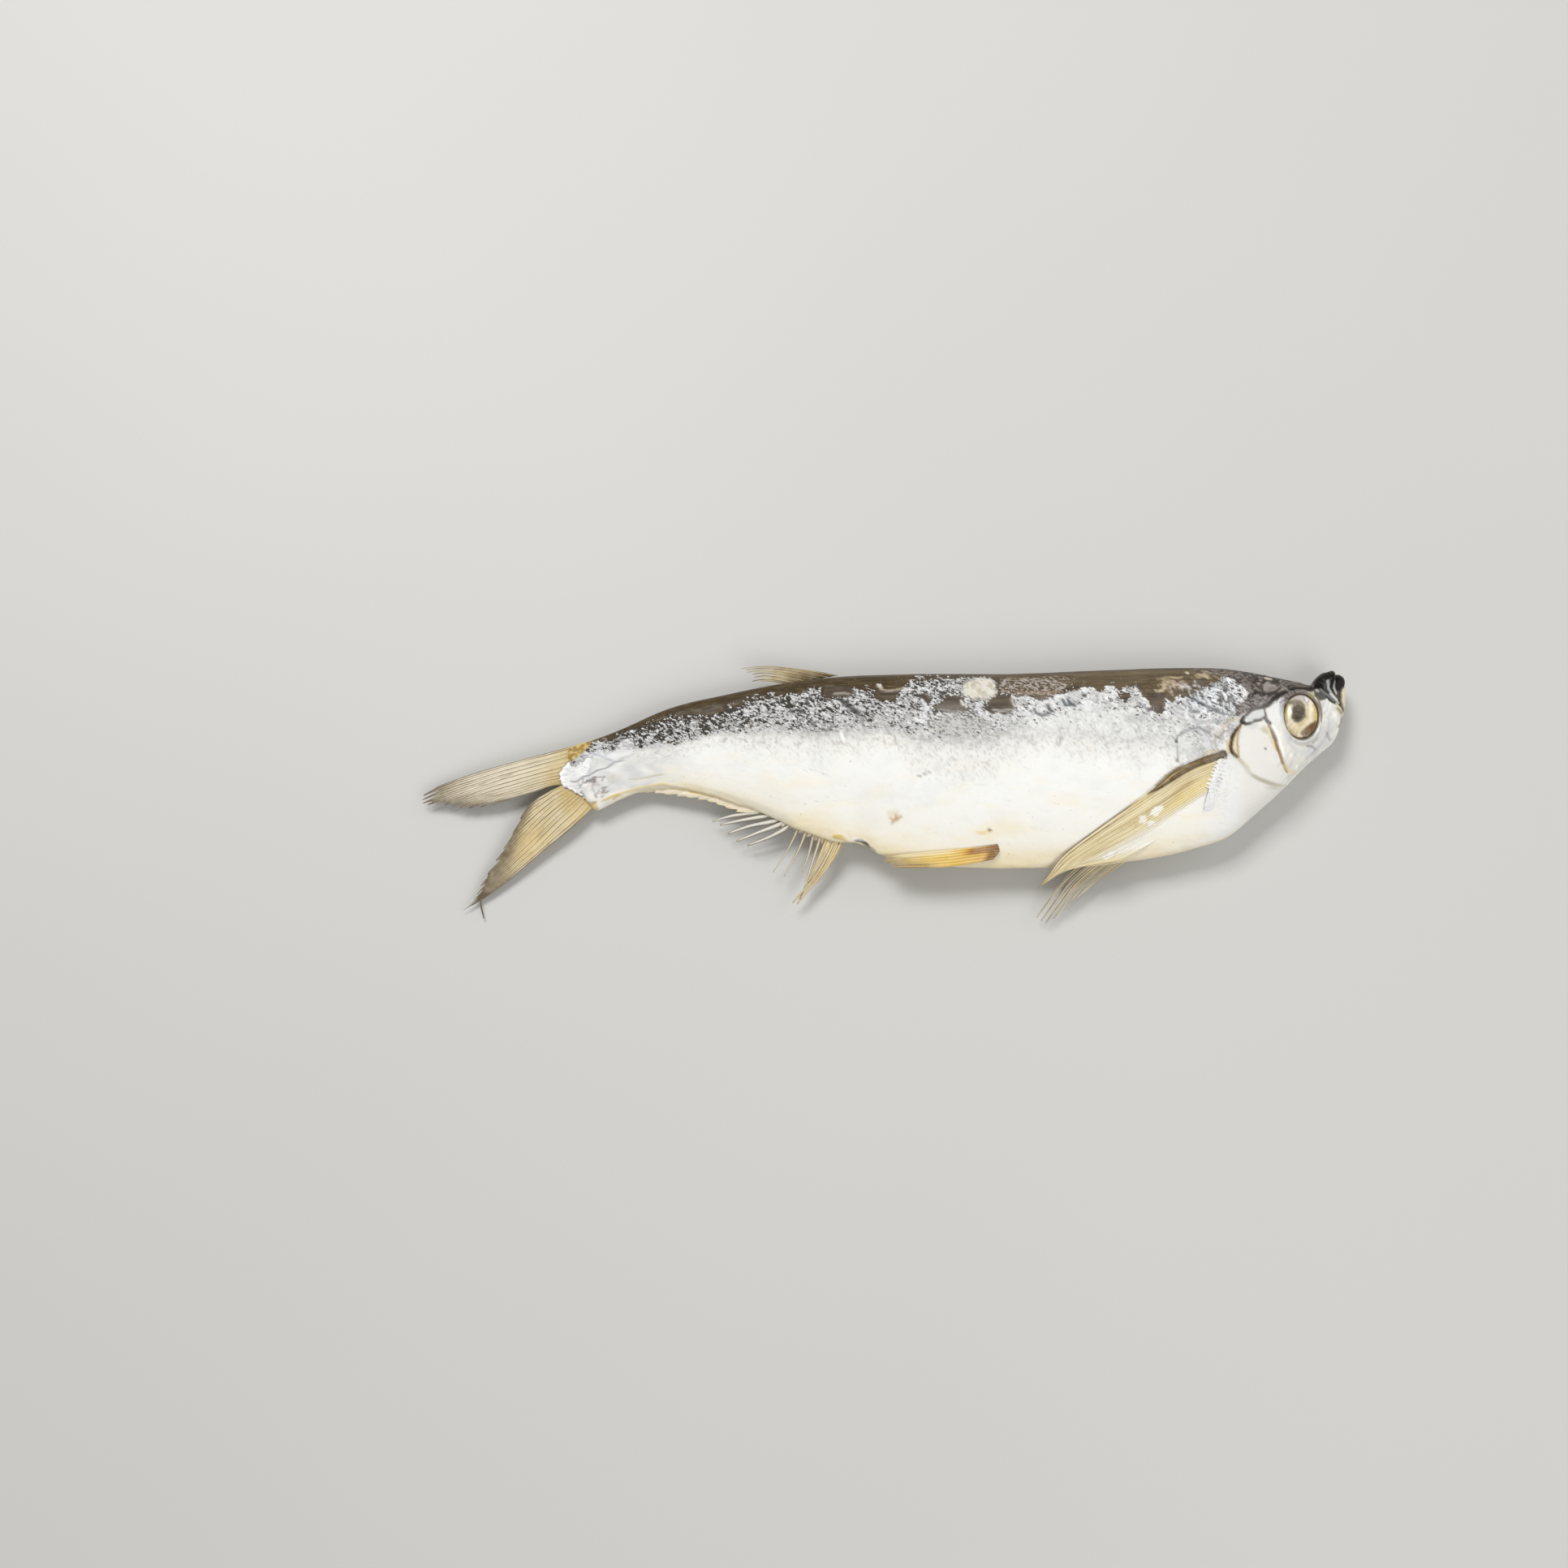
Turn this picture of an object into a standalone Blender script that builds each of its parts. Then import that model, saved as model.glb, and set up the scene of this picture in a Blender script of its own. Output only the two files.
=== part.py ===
"""A dried, salted sabrefish that lies on its left side: head towards +X, back towards +Y, right flank up.

The origin is on the flat spot that the fish rests on, under the thickest stretch of its flank.
Every length below is in millimetres, and MM turns it into Blender's metres.
"""

import math

import bpy
import numpy as np

MM = 0.001
NAME = "sabrefish"

# The body is a loft of sections from tail to nose. Each section runs from the back ridge to the belly keel.
# back x, back y, belly x, belly y, half thickness, height of the middle plane, power of the keel, of the back
BODY_STATIONS = (
    (-156.5, 3.3, -146.7, -17.4, 2.1, 5.2, 0.52, 0.50),  # root of the tail fin
    (-140.6, 9.3, -133.7, -11.6, 2.9, 5.7, 0.54, 0.50),
    (-124.7, 16.3, -120.4, -10.6, 3.9, 6.4, 0.58, 0.50),
    (-103.4, 21.4, -101.3, -15.6, 5.3, 7.4, 0.64, 0.50),
    (-76.9, 25.9, -76.4, -26.4, 7.5, 8.8, 0.70, 0.50),  # under the dorsal fin
    (-50.4, 27.2, -50.4, -34.4, 9.3, 9.6, 0.72, 0.50),
    (-10.6, 27.4, -10.6, -37.6, 10.8, 9.9, 0.72, 0.50),  # deepest belly
    (23.9, 28.8, 23.9, -35.6, 11.0, 9.9, 0.70, 0.50),
    (45.1, 29.4, 44.6, -31.9, 10.5, 9.8, 0.66, 0.50),
    (61.0, 28.9, 59.4, -26.3, 9.8, 9.6, 0.60, 0.46),  # gill opening
    (69.0, 27.6, 67.0, -19.9, 9.25, 9.4, 0.56, 0.43),
    (76.9, 25.8, 74.8, -13.2, 8.6, 9.2, 0.52, 0.40),
    (87.5, 24.0, 85.4, -3.0, 7.2, 8.9, 0.48, 0.38),  # eye
    (95.3, 24.0, 93.4, 3.8, 5.2, 8.6, 0.46, 0.40),  # jaws
)
NOSE_TIP = (99.0, 19.5, 8.5)
TAIL_CAP_LENGTH = 2.5
SECTION_STEP = 6.0  # along the trunk
HEAD_SECTION_STEP = 1.7
HEAD_START = 56.0
CAP_SECTIONS = 5
SECTION_POINTS = 34

# Local changes of the back and belly lines: centre x, half width, height outwards
SNOUT_HUMP = (92.6, 3.7, 3.2)
NAPE_DIP = (87.2, 2.6, -0.8)
VENT_NOTCH = (-62.0, 5.0, -1.9)

# Head relief, as curves through a few points of the right flank
GILL_EDGE = ((66.0, 10.2), (61.2, 6.4), (59.2, 1.4), (60.6, -4.8), (64.4, -10.1), (70.6, -13.3), (77.2, -11.2))
CHEEK_SEAM = ((70.0, 10.4), (71.6, 6.1), (73.4, -0.7), (75.4, -6.5))
SKULL_SEAM = ((58.2, 7.0), (65.6, 12.2), (70.9, 13.8), (76.0, 18.8), (82.0, 21.9))
MOUTH_SLIT = ((96.6, 24.8), (96.0, 19.8), (94.0, 14.6), (90.4, 10.0))
GILL_LIP_HEIGHT, GILL_LIP_FADE = 1.4, 11.0
GROOVE_WIDTH, GROOVE_DEPTH = 0.9, 0.55

# Eye: a low dome in a raised rim
EYE_CENTRE = (81.9, 11.2)
EYE_HALF_WIDTH, EYE_HALF_HEIGHT = 5.8, 7.6
EYE_LEAN = math.radians(-9)  # its long axis leans towards the snout
EYE_DOME = 2.6
EYE_PROUD = 1.0
RIM_RADIUS, RIM_WIDTH, RIM_HEIGHT = 1.12, 0.16, 0.5  # radius and width as shares of the eye's size

# Fins: sheets of stiff rays joined by a web
FIN_THICKNESS = 0.95
FLANK_FIN_THICKNESS = 1.3  # of a fin that lies on a flank, which it sinks into
RAY_RIDGE = 0.3
TAIL_LOBE_RAYS = 9
TAIL_ROOT = (-155.0, -7.0)
TAIL_REACH = 50.0
PECTORAL_RAYS = 9
PELVIC_RAYS = 4
DORSAL_RAYS = 5
ANAL_FRONT_RAYS = 4
ANAL_MIDDLE_RAYS = 5
ANAL_REAR_RAYS = 10
KEEL_SHARE = 0.15  # share of the body's depth, from the keel, where a paired fin leaves the flank


def hermite(table, knots, at):
    """A smooth curve through the rows of table, which lie at the knots, read at each value of at."""
    table, knots, at = np.array(table, float), np.array(knots, float), np.atleast_1d(at).astype(float)
    slopes = np.gradient(table, knots, axis=0)
    i = np.clip(np.searchsorted(knots, at) - 1, 0, len(knots) - 2)
    step = (knots[i + 1] - knots[i])[:, None]
    t = ((at - knots[i])[:, None]) / step
    return (
        (2 * t**3 - 3 * t**2 + 1) * table[i]
        + (t**3 - 2 * t**2 + t) * step * slopes[i]
        + (3 * t**2 - 2 * t**3) * table[i + 1]
        + (t**3 - t**2) * step * slopes[i + 1]
    )


STATION_KNOTS = [(row[0] + row[2]) / 2 for row in BODY_STATIONS]


def bump(x, centre, half_width, height):
    return height * np.exp(-(((x - centre) / half_width) ** 2))


def stations(s):
    """The body's section at s, the mean x of its back and belly: eight columns, as in BODY_STATIONS."""
    rows = hermite(BODY_STATIONS, STATION_KNOTS, s)
    rows[:, 1] += bump(rows[:, 0], *SNOUT_HUMP) + bump(rows[:, 0], *NAPE_DIP)
    rows[:, 3] -= bump(rows[:, 2], *VENT_NOTCH)
    return rows


def fullness(share, keel, back):
    """Thickness over its greatest, at a share of the way from the keel to the back ridge."""
    peak = keel / (keel + back)
    share = np.clip(share, 0, 1)
    return (share / peak) ** keel * ((1 - share) / (1 - peak)) ** back


def section_of(x, y):
    """The section through a point seen from above, and the point's share of the way from keel to back."""
    s = np.array(x, float)
    for _ in range(4):
        row = stations(np.clip(s, STATION_KNOTS[0], STATION_KNOTS[-1]))
        share = (y - row[:, 3]) / (row[:, 1] - row[:, 3])
        s = s + x - (row[:, 2] + share * (row[:, 0] - row[:, 2]))
    return row, share


def flank_height(x, y, side):
    """Height of the right (side 1) or left (side -1) flank, carried on in a straight line past the keel."""
    row, share = section_of(x, y)
    half, middle, keel, back = row[:, 4], row[:, 5], row[:, 6], row[:, 7]
    edge = fullness(KEEL_SHARE, keel, back)
    slope = (fullness(KEEL_SHARE + 0.01, keel, back) - edge) / 0.01
    past = edge + slope * (share - KEEL_SHARE)
    return middle + side * half * np.where(share < KEEL_SHARE, past, fullness(share, keel, back))


def curve_points(points, count=40):
    """A smooth curve through a few points of the flank."""
    return hermite(points, range(len(points)), np.linspace(0, len(points) - 1, count))


def distance_to(x, y, points):
    """How far each point is from a curve, and on which side of it: positive on the right of its direction."""
    curve = curve_points(points)
    best, side = np.full(len(x), np.inf), np.ones(len(x))
    for (ax, ay), (bx, by) in zip(curve[:-1], curve[1:]):
        dx, dy = bx - ax, by - ay
        t = np.clip(((x - ax) * dx + (y - ay) * dy) / (dx * dx + dy * dy), 0, 1)
        d = np.hypot(x - ax - t * dx, y - ay - t * dy)
        nearer = d < best
        best = np.where(nearer, d, best)
        side = np.where(nearer, np.sign(dy * (x - ax) - dx * (y - ay) + 1e-9), side)
    return best, side


def groove(x, y, points, width=GROOVE_WIDTH, depth=GROOVE_DEPTH):
    return -depth * np.exp(-((distance_to(x, y, points)[0] / width) ** 2))


def head_relief(x, y):
    """How far the head's skin stands out: gill cover, seams between its plates, mouth and eye rim."""
    gap, side = distance_to(x, y, GILL_EDGE)
    lip = GILL_LIP_HEIGHT * np.exp(-gap / GILL_LIP_FADE) * (side < 0)
    dx, dy = x - EYE_CENTRE[0], y - EYE_CENTRE[1]
    across = dx * math.cos(EYE_LEAN) + dy * math.sin(EYE_LEAN)
    upwards = dy * math.cos(EYE_LEAN) - dx * math.sin(EYE_LEAN)
    eye = np.hypot(across / EYE_HALF_WIDTH, upwards / EYE_HALF_HEIGHT)
    rim = RIM_HEIGHT * np.exp(-(((eye - RIM_RADIUS) / RIM_WIDTH) ** 2))
    seams = groove(x, y, CHEEK_SEAM) + groove(x, y, SKULL_SEAM) + groove(x, y, MOUTH_SLIT)
    return lip + groove(x, y, GILL_EDGE) + seams + rim


def body_sections():
    """Rows of ring points from the tail's cap to the nose tip, in millimetres."""
    trunk = np.arange(STATION_KNOTS[0], HEAD_START, SECTION_STEP)
    head = np.arange(HEAD_START, STATION_KNOTS[-1] - 1.0, HEAD_SECTION_STEP)
    turn = np.linspace(0, 2 * math.pi, SECTION_POINTS, endpoint=False)
    share, side = (1 + np.cos(turn)) / 2, np.where(turn <= math.pi, 1.0, -1.0)
    rings = []
    for s in [*trunk, *head, STATION_KNOTS[-1]]:
        row = stations([s])[0]
        x = row[2] + share * (row[0] - row[2])
        y = row[3] + share * (row[1] - row[3])
        z = side * row[4] * fullness(share, row[6], row[7])
        z += side * head_relief(x, y) * np.abs(np.sin(turn)) ** 0.5
        rings.append(np.stack([x, y, np.maximum(z + row[5], 0.0)], axis=1))
    return rings


def rounded_cap(ring, tip, count):
    """Ring after ring that closes on tip like the end of an ellipsoid."""
    centre = ring.mean(axis=0)
    angles = np.linspace(0, math.pi / 2, count + 1)[1:-1]
    return [centre + (ring - centre) * math.cos(a) + (tip - centre) * math.sin(a) for a in angles]


def make_mesh(name, points, faces):
    mesh = bpy.data.meshes.new(name)
    mesh.from_pydata([tuple(p) for p in np.array(points) * MM], [], faces)
    mesh.validate()
    mesh.update()
    obj = bpy.data.objects.new(name, mesh)
    return obj


def make_body():
    """The trunk and head as one closed loft."""
    rings = body_sections()
    tail_centre = rings[0].mean(axis=0)
    tail_tip = tail_centre + np.array((-TAIL_CAP_LENGTH, -TAIL_CAP_LENGTH * 0.4, 0.0))
    tail = rounded_cap(rings[0], tail_tip, 3)[::-1]
    nose = rounded_cap(rings[-1], np.array(NOSE_TIP), CAP_SECTIONS)
    rings = [*tail, *rings, *nose]
    n = SECTION_POINTS
    points = np.concatenate([*rings, [tail_tip], [NOSE_TIP]])
    points[:, 2] = np.maximum(points[:, 2], 0.0)
    faces = []
    for i in range(len(rings) - 1):
        for j in range(n):
            k = (j + 1) % n
            faces.append((i * n + j, i * n + k, (i + 1) * n + k, (i + 1) * n + j))
    first, last, tip = len(points) - 2, len(rings) - 1, len(points) - 1
    faces += [(first, (j + 1) % n, j) for j in range(n)]
    faces += [(tip, last * n + j, last * n + (j + 1) % n) for j in range(n)]
    return make_mesh(NAME, points, faces)


def ray_path(root, tip, bow, foot, rows):
    """Points along a bowed ray seen from above: its foot inside the body, then from root to tip."""
    root, tip = np.array(root, float), np.array(tip, float)
    along = tip - root
    normal = np.array((-along[1], along[0])) / np.hypot(*along)
    t = np.linspace(0, 1, rows - 1)[:, None]
    path = root + t * along + 4 * bow * t * (1 - t) * normal
    return np.concatenate([[root + foot], path])


def crosswise(path):
    """The unit vector across a path at each of its points, seen from above."""
    along = np.gradient(path, axis=0)
    along /= np.hypot(along[:, 0], along[:, 1])[:, None]
    return np.column_stack([-along[:, 1], along[:, 0]])


def make_fin(name, rays, web, width, foot, height, rows=8, thickness=FIN_THICKNESS):
    """A sheet of rays: three columns of points for each, the middle one raised, with a web between them.

    rays is a list of (root, tip, bow), web the share of their length that the web joins, width a ray's
    width at its root, foot the step from each root into the body, and height a function from x, y and the
    share along the ray to the sheet's height.
    """
    paths = [ray_path(*ray, np.array(foot, float), rows) for ray in rays]
    normals = [crosswise(path) for path in paths]
    share = np.concatenate([[0.0], np.linspace(0, 1, rows - 1)])
    points, faces = [], []
    for number, path in enumerate(paths):
        last = number == len(paths) - 1
        before = paths[max(number - 1, 0)] - path if number else path - paths[1]
        after = path - paths[number - 1] if last else paths[number + 1] - path
        for offset, ridge in ((before, 0.0), (None, RAY_RIDGE), (after, 0.0)):
            xy = path
            if offset is not None:
                gap = (offset * normals[number]).sum(axis=1)
                half = np.minimum(width / 2 * (1 - 0.5 * share), 0.34 * np.abs(gap))
                xy = path + (np.sign(gap) * half)[:, None] * normals[number]
            z = height(xy[:, 0], xy[:, 1], share) + ridge * (1 - share)
            points += list(np.column_stack([xy, np.maximum(z, thickness / 2 + 0.15)]))
        base = number * 3 * rows
        gap_web = web * (1 + 0.1 * math.cos(2.4 * number))
        for column in range(2 if last else 3):
            joined = rows - 1 if column < 2 else int(round(min(gap_web, 1.0) * (rows - 1)))
            a, b = base + column * rows, base + (column + 1) * rows
            faces += [(a + i, b + i, b + i + 1, a + i + 1) for i in range(joined)]
    fin = make_mesh(name, points, faces)
    shell = fin.modifiers.new("thickness", "SOLIDIFY")
    shell.thickness = thickness * MM
    shell.offset = 0.0
    return fin


def fan(count, roots, tips, bows, unevenness=0.0):
    """Rays whose roots lie on a line and whose tips lie near a curve through three points."""
    roots, tips = np.array(roots, float), np.array(tips, float)
    rays = []
    for number, t in enumerate(np.linspace(0, 1, count)):
        root = roots[0] + t * (roots[1] - roots[0])
        tip = (1 - t) ** 2 * tips[0] + 2 * t * (1 - t) * tips[1] + t**2 * tips[2]
        tip = tip + (root - tip) * unevenness * (1 + math.sin(1.9 * number)) / 2
        rays.append((root, tip, bows[0] + t * (bows[1] - bows[0])))
    return rays


def tail_height(droop, curl):
    """The tail fin leaves the body's middle plane and sinks towards what the fish lies on."""

    def height(x, y, share):
        away = np.hypot(np.minimum(x - TAIL_ROOT[0], 0), y - TAIL_ROOT[1]) / TAIL_REACH
        return BODY_STATIONS[0][5] - droop * away**1.3 + curl * away * np.sin(away * 5.0 + y * 0.12)

    return height


def make_tail():
    upper = fan(
        TAIL_LOBE_RAYS,
        ((-156.2, 2.4), (-159.0, -8.8)),
        ((-204.6, -14.4), (-186.0, -21.5), (-168.0, -13.8)),
        (-1.8, 0.0),
        0.10,
    )
    lower = fan(
        TAIL_LOBE_RAYS,
        ((-158.6, -10.8), (-148.0, -17.0)),
        ((-171.4, -19.6), (-176.0, -33.0), (-190.8, -52.6)),
        (0.0, 1.8),
        0.08,
    )
    return [
        make_fin("tail_upper", upper, 0.95, 1.5, (5.0, -1.2), tail_height(2.6, 0.3)),
        make_fin("tail_lower", lower, 0.95, 1.5, (4.4, 2.6), tail_height(3.4, 0.4)),
    ]


def paired_height(side, lift, plane_height=99.0, plane_slope=0.0):
    """A paired fin lies on its flank and, past the keel, no higher than a plane that slopes down outwards."""

    def height(x, y, share):
        flank = flank_height(x, y, side) + side * lift * share
        past = section_of(x, y)[0][:, 3] - y
        return np.minimum(flank, plane_height - plane_slope * past)

    return height


def make_pectorals():
    right = fan(
        PECTORAL_RAYS,
        ((55.0, -2.8), (49.0, -18.2)),
        ((-4.8, -44.7), (12.0, -37.5), (42.0, -25.0)),
        (-4.2, -0.6),
        0.04,
    )
    left = fan(
        PECTORAL_RAYS,
        ((55.0, -2.8), (49.0, -18.2)),
        ((-6.4, -55.0), (8.0, -46.0), (37.0, -30.0)),
        (-4.4, -0.6),
        0.04,
    )
    size = {"rows": 12, "thickness": FLANK_FIN_THICKNESS}
    return [
        make_fin("pectoral_right", right, 0.95, 2.0, (1.2, 0.4), paired_height(1, 0.2), **size),
        make_fin("pectoral_left", left, 0.9, 2.0, (2.4, 0.8), paired_height(-1, 0.0, 6.0, 0.16), **size),
    ]


def make_pelvics():
    right = fan(
        PELVIC_RAYS,
        ((-18.6, -30.2), (-18.6, -34.6)),
        ((-54.4, -34.6), (-56.0, -36.4), (-50.4, -38.0)),
        (-0.8, 0.6),
    )
    left = fan(
        PELVIC_RAYS,
        ((-18.6, -29.0), (-18.6, -33.4)),
        ((-50.6, -30.8), (-51.6, -32.6), (-46.4, -34.8)),
        (-0.6, 0.4),
    )
    size = {"rows": 7, "thickness": FLANK_FIN_THICKNESS}
    return [
        make_fin("pelvic_right", right, 1.0, 1.4, (1.5, 0.0), paired_height(1, 0.2), **size),
        make_fin("pelvic_left", left, 0.95, 1.4, (1.5, 0.0), paired_height(-1, 0.1), **size),
    ]


def mid_height(droop):
    """A fin of the back or belly line, in the body's middle plane, that sinks towards its tips."""

    def height(x, y, share):
        return section_of(x, y)[0][:, 5] - droop * share

    return height


def belly_rays(count, start, end, length, spread):
    """Short rays along the belly line between two values of x, swept back close to the line."""
    rays = []
    for number, s in enumerate(np.linspace(start, end, count)):
        reach = length * (1 - 0.35 * number / (count - 1))
        root, line = stations([s, s - reach])[:, 2:4]
        rays.append((root, line - np.array((0.0, spread)), 0.3))
    return rays[::-1]


def make_dorsal_and_anal():
    dorsal = fan(
        DORSAL_RAYS,
        ((-71.0, 27.0), (-85.0, 23.4)),
        ((-103.4, 29.8), (-100.0, 28.6), (-96.4, 24.8)),
        (-0.5, -1.2),
    )
    front = fan(
        ANAL_FRONT_RAYS,
        ((-74.6, -26.8), (-67.6, -29.0)),
        ((-88.2, -38.8), (-84.0, -41.0), (-80.9, -48.4)),
        (-0.4, 0.4),
    )
    middle = fan(
        ANAL_MIDDLE_RAYS,
        ((-94.4, -18.2), (-84.4, -23.4)),
        ((-107.4, -21.6), (-103.8, -25.8), (-96.8, -29.6)),
        (0.3, 0.4),
    )
    rear = belly_rays(ANAL_REAR_RAYS, -99.0, -139.0, 9.0, 2.6)
    return [
        make_fin("dorsal", dorsal, 0.9, 1.3, (1.0, -3.0), mid_height(0.4), rows=6),
        make_fin("anal_front", front, 0.6, 1.6, (1.2, 3.0), mid_height(4.0), rows=6),
        make_fin("anal_middle", middle, 0.3, 1.3, (1.2, 3.0), mid_height(2.5), rows=5),
        make_fin("anal_rear", rear, 0.5, 1.1, (1.0, 2.6), mid_height(1.0), rows=4),
    ]


def make_eye(name, side):
    """A flattened sphere, sunk into the head so that a low dome shows."""
    at = np.array([EYE_CENTRE[0]]), np.array([EYE_CENTRE[1]])
    surface = flank_height(*at, side)[0]
    bpy.ops.mesh.primitive_uv_sphere_add(segments=20, ring_count=8, radius=1.0)
    eye = bpy.context.object
    eye.name = name
    eye.scale = (EYE_HALF_WIDTH * MM, EYE_HALF_HEIGHT * MM, EYE_DOME * MM)
    step = np.array([1.0])
    rise = (flank_height(at[0], at[1] + step, side) - flank_height(at[0], at[1] - step, side))[0] / 2
    eye.rotation_euler = (math.atan(rise), 0.0, EYE_LEAN)
    centre = surface - side * (EYE_DOME - EYE_PROUD)
    eye.location = (EYE_CENTRE[0] * MM, EYE_CENTRE[1] * MM, centre * MM)
    bpy.ops.object.transform_apply(location=True, rotation=True, scale=True)
    return eye


def flesh_material():
    material = bpy.data.materials.new("salted_skin")
    material.use_nodes = True
    surface = material.node_tree.nodes["Principled BSDF"]
    surface.inputs["Base Color"].default_value = (0.72, 0.69, 0.62, 1.0)
    surface.inputs["Roughness"].default_value = 0.4
    surface.inputs["Metallic"].default_value = 0.0
    return material


def join(body, pieces):
    """One solid: a Boolean union of the body with the collection of its pieces, applied, and the pieces removed."""
    group = bpy.data.collections.new("pieces")
    bpy.context.scene.collection.children.link(group)
    for piece in pieces:
        for owner in list(piece.users_collection):
            owner.objects.unlink(piece)
        group.objects.link(piece)
    union = body.modifiers.new("join", "BOOLEAN")
    union.operation = "UNION"
    union.operand_type = "COLLECTION"
    union.collection = group
    union.solver = "EXACT"
    bpy.context.view_layer.update()
    graph = bpy.context.evaluated_depsgraph_get()
    joined = bpy.data.meshes.new_from_object(body.evaluated_get(graph))
    body.modifiers.clear()
    body.data = joined
    for piece in pieces:
        bpy.data.objects.remove(piece)
    bpy.data.collections.remove(group)


def main():
    for obj in list(bpy.data.objects):
        bpy.data.objects.remove(obj)
    fish = bpy.data.collections.new("dried_sabrefish")
    bpy.context.scene.collection.children.link(fish)
    body = make_body()
    fish.objects.link(body)
    fins = [*make_tail(), *make_pectorals(), *make_pelvics(), *make_dorsal_and_anal()]
    eyes = [make_eye("eye_right", 1), make_eye("eye_left", -1)]
    join(body, [*fins, *eyes])
    body.data.materials.clear()
    body.data.materials.append(flesh_material())
    body.data.shade_smooth()
    body.data.set_sharp_from_angle(angle=math.radians(40))


main()
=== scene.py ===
"""A dried, salted sabrefish on its left side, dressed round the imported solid.

The row frame has its origin on the flat spot that the fish rests on: head towards +X, back towards +Y,
right flank up. Lengths are in millimetres until MM turns them into metres. Marks are placed by where the
camera sees them on the level plane z = PLANE: those two coordinates are called u and v below. Colours are
given in a picture's 0 to 255.
"""

import math
from functools import partial

import bpy
import numpy as np
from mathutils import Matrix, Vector


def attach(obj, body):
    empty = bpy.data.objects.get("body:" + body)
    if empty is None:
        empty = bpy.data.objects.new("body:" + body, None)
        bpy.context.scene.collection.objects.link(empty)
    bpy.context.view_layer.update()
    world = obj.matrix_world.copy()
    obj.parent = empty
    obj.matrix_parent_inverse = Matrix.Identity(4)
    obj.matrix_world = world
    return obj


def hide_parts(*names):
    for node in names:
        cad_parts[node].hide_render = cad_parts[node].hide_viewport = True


MM = 0.001
CAMERA_AT = np.array((-86.0, -160.0, 650.4))
CAMERA_TILT = math.radians(13.2)
CAMERA_LENS, SENSOR_WIDTH = 46.35, 36.0
PLANE = 10.0
FLOOR_HALF, FLOOR_HEIGHT = 3000, -0.2
RIGHT, LEFT = 1, -1

# ---------------------------------------------------------------- form, as in the part's source
# back x, back y, belly x, belly y, half thickness, height of the middle plane, powers of keel and back
BODY_STATIONS = (
    (-156.5, 3.3, -146.7, -17.4, 2.1, 5.2, 0.52, 0.5), (-140.6, 9.3, -133.7, -11.6, 2.9, 5.7, 0.54, 0.5),
    (-124.7, 16.3, -120.4, -10.6, 3.9, 6.4, 0.58, 0.5),
    (-103.4, 21.4, -101.3, -15.6, 5.3, 7.4, 0.64, 0.5), (-76.9, 25.9, -76.4, -26.4, 7.5, 8.8, 0.7, 0.5),
    (-50.4, 27.2, -50.4, -34.4, 9.3, 9.6, 0.72, 0.5), (-10.6, 27.4, -10.6, -37.6, 10.8, 9.9, 0.72, 0.5),
    (23.9, 28.8, 23.9, -35.6, 11.0, 9.9, 0.7, 0.5), (45.1, 29.4, 44.6, -31.9, 10.5, 9.8, 0.66, 0.5),
    (61.0, 28.9, 59.4, -26.3, 9.8, 9.6, 0.6, 0.46), (69.0, 27.6, 67.0, -19.9, 9.25, 9.4, 0.56, 0.43),
    (76.9, 25.8, 74.8, -13.2, 8.6, 9.2, 0.52, 0.4), (87.5, 24.0, 85.4, -3.0, 7.2, 8.9, 0.48, 0.38),
    (95.3, 24.0, 93.4, 3.8, 5.2, 8.6, 0.46, 0.4),
)
NOSE_TIP = (99.0, 19.5, 8.5)
TAIL_CAP_LENGTH, TAIL_CAP_DROP = 2.5, 1.0
HEAD_START = 54.0
# place along the fish, half width and height of the bumps and dips of its outline
SNOUT_HUMP = (92.6, 3.7, 3.2)
NAPE_DIP = (87.2, 2.6, -0.8)
VENT_NOTCH = (-62.0, 5.0, -1.9)
KEEL_SHARE = 0.15
STATION_KNOTS = [(row[0] + row[2]) / 2 for row in BODY_STATIONS]
EYE_CENTRE = (81.9, 11.2)
EYE_HALF_WIDTH, EYE_HALF_HEIGHT = 5.8, 7.6
EYE_LEAN = math.radians(-9)
EYE_DOME, EYE_PROUD = 2.6, 1.0


def hermite(table, knots, at):
    """A smooth curve through the rows of table, which lie at the knots, read at each value of at."""
    table, knots, at = np.array(table, float), np.array(knots, float), np.atleast_1d(at).astype(float)
    slopes = np.gradient(table, knots, axis=0)
    i = np.clip(np.searchsorted(knots, at) - 1, 0, len(knots) - 2)
    step = (knots[i + 1] - knots[i])[:, None]
    t = ((at - knots[i])[:, None]) / step
    return (
        (2 * t**3 - 3 * t**2 + 1) * table[i]
        + (t**3 - 2 * t**2 + t) * step * slopes[i]
        + (3 * t**2 - 2 * t**3) * table[i + 1]
        + (t**3 - t**2) * step * slopes[i + 1]
    )


def curve(points, at):
    """The smooth curve through points, at shares of the way along it."""
    return hermite(points, range(len(points)), np.asarray(at) * (len(points) - 1))


def bump(x, centre, half_width, height):
    """A bell-shaped rise, or a dip where the height is below zero."""
    return height * np.exp(-(((x - centre) / half_width) ** 2))


def stations(s):
    """The body's section at s, the mean x of its back and belly: eight columns, as in BODY_STATIONS."""
    rows = hermite(BODY_STATIONS, STATION_KNOTS, s)
    rows[:, 1] += bump(rows[:, 0], *SNOUT_HUMP) + bump(rows[:, 0], *NAPE_DIP)
    rows[:, 3] -= bump(rows[:, 2], *VENT_NOTCH)
    return rows


def fullness(share, keel, back):
    """Thickness over its greatest, at a share of the way from the keel to the back ridge."""
    peak = keel / (keel + back)
    share = np.clip(share, 0, 1)
    return (share / peak) ** keel * ((1 - share) / (1 - peak)) ** back


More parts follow.
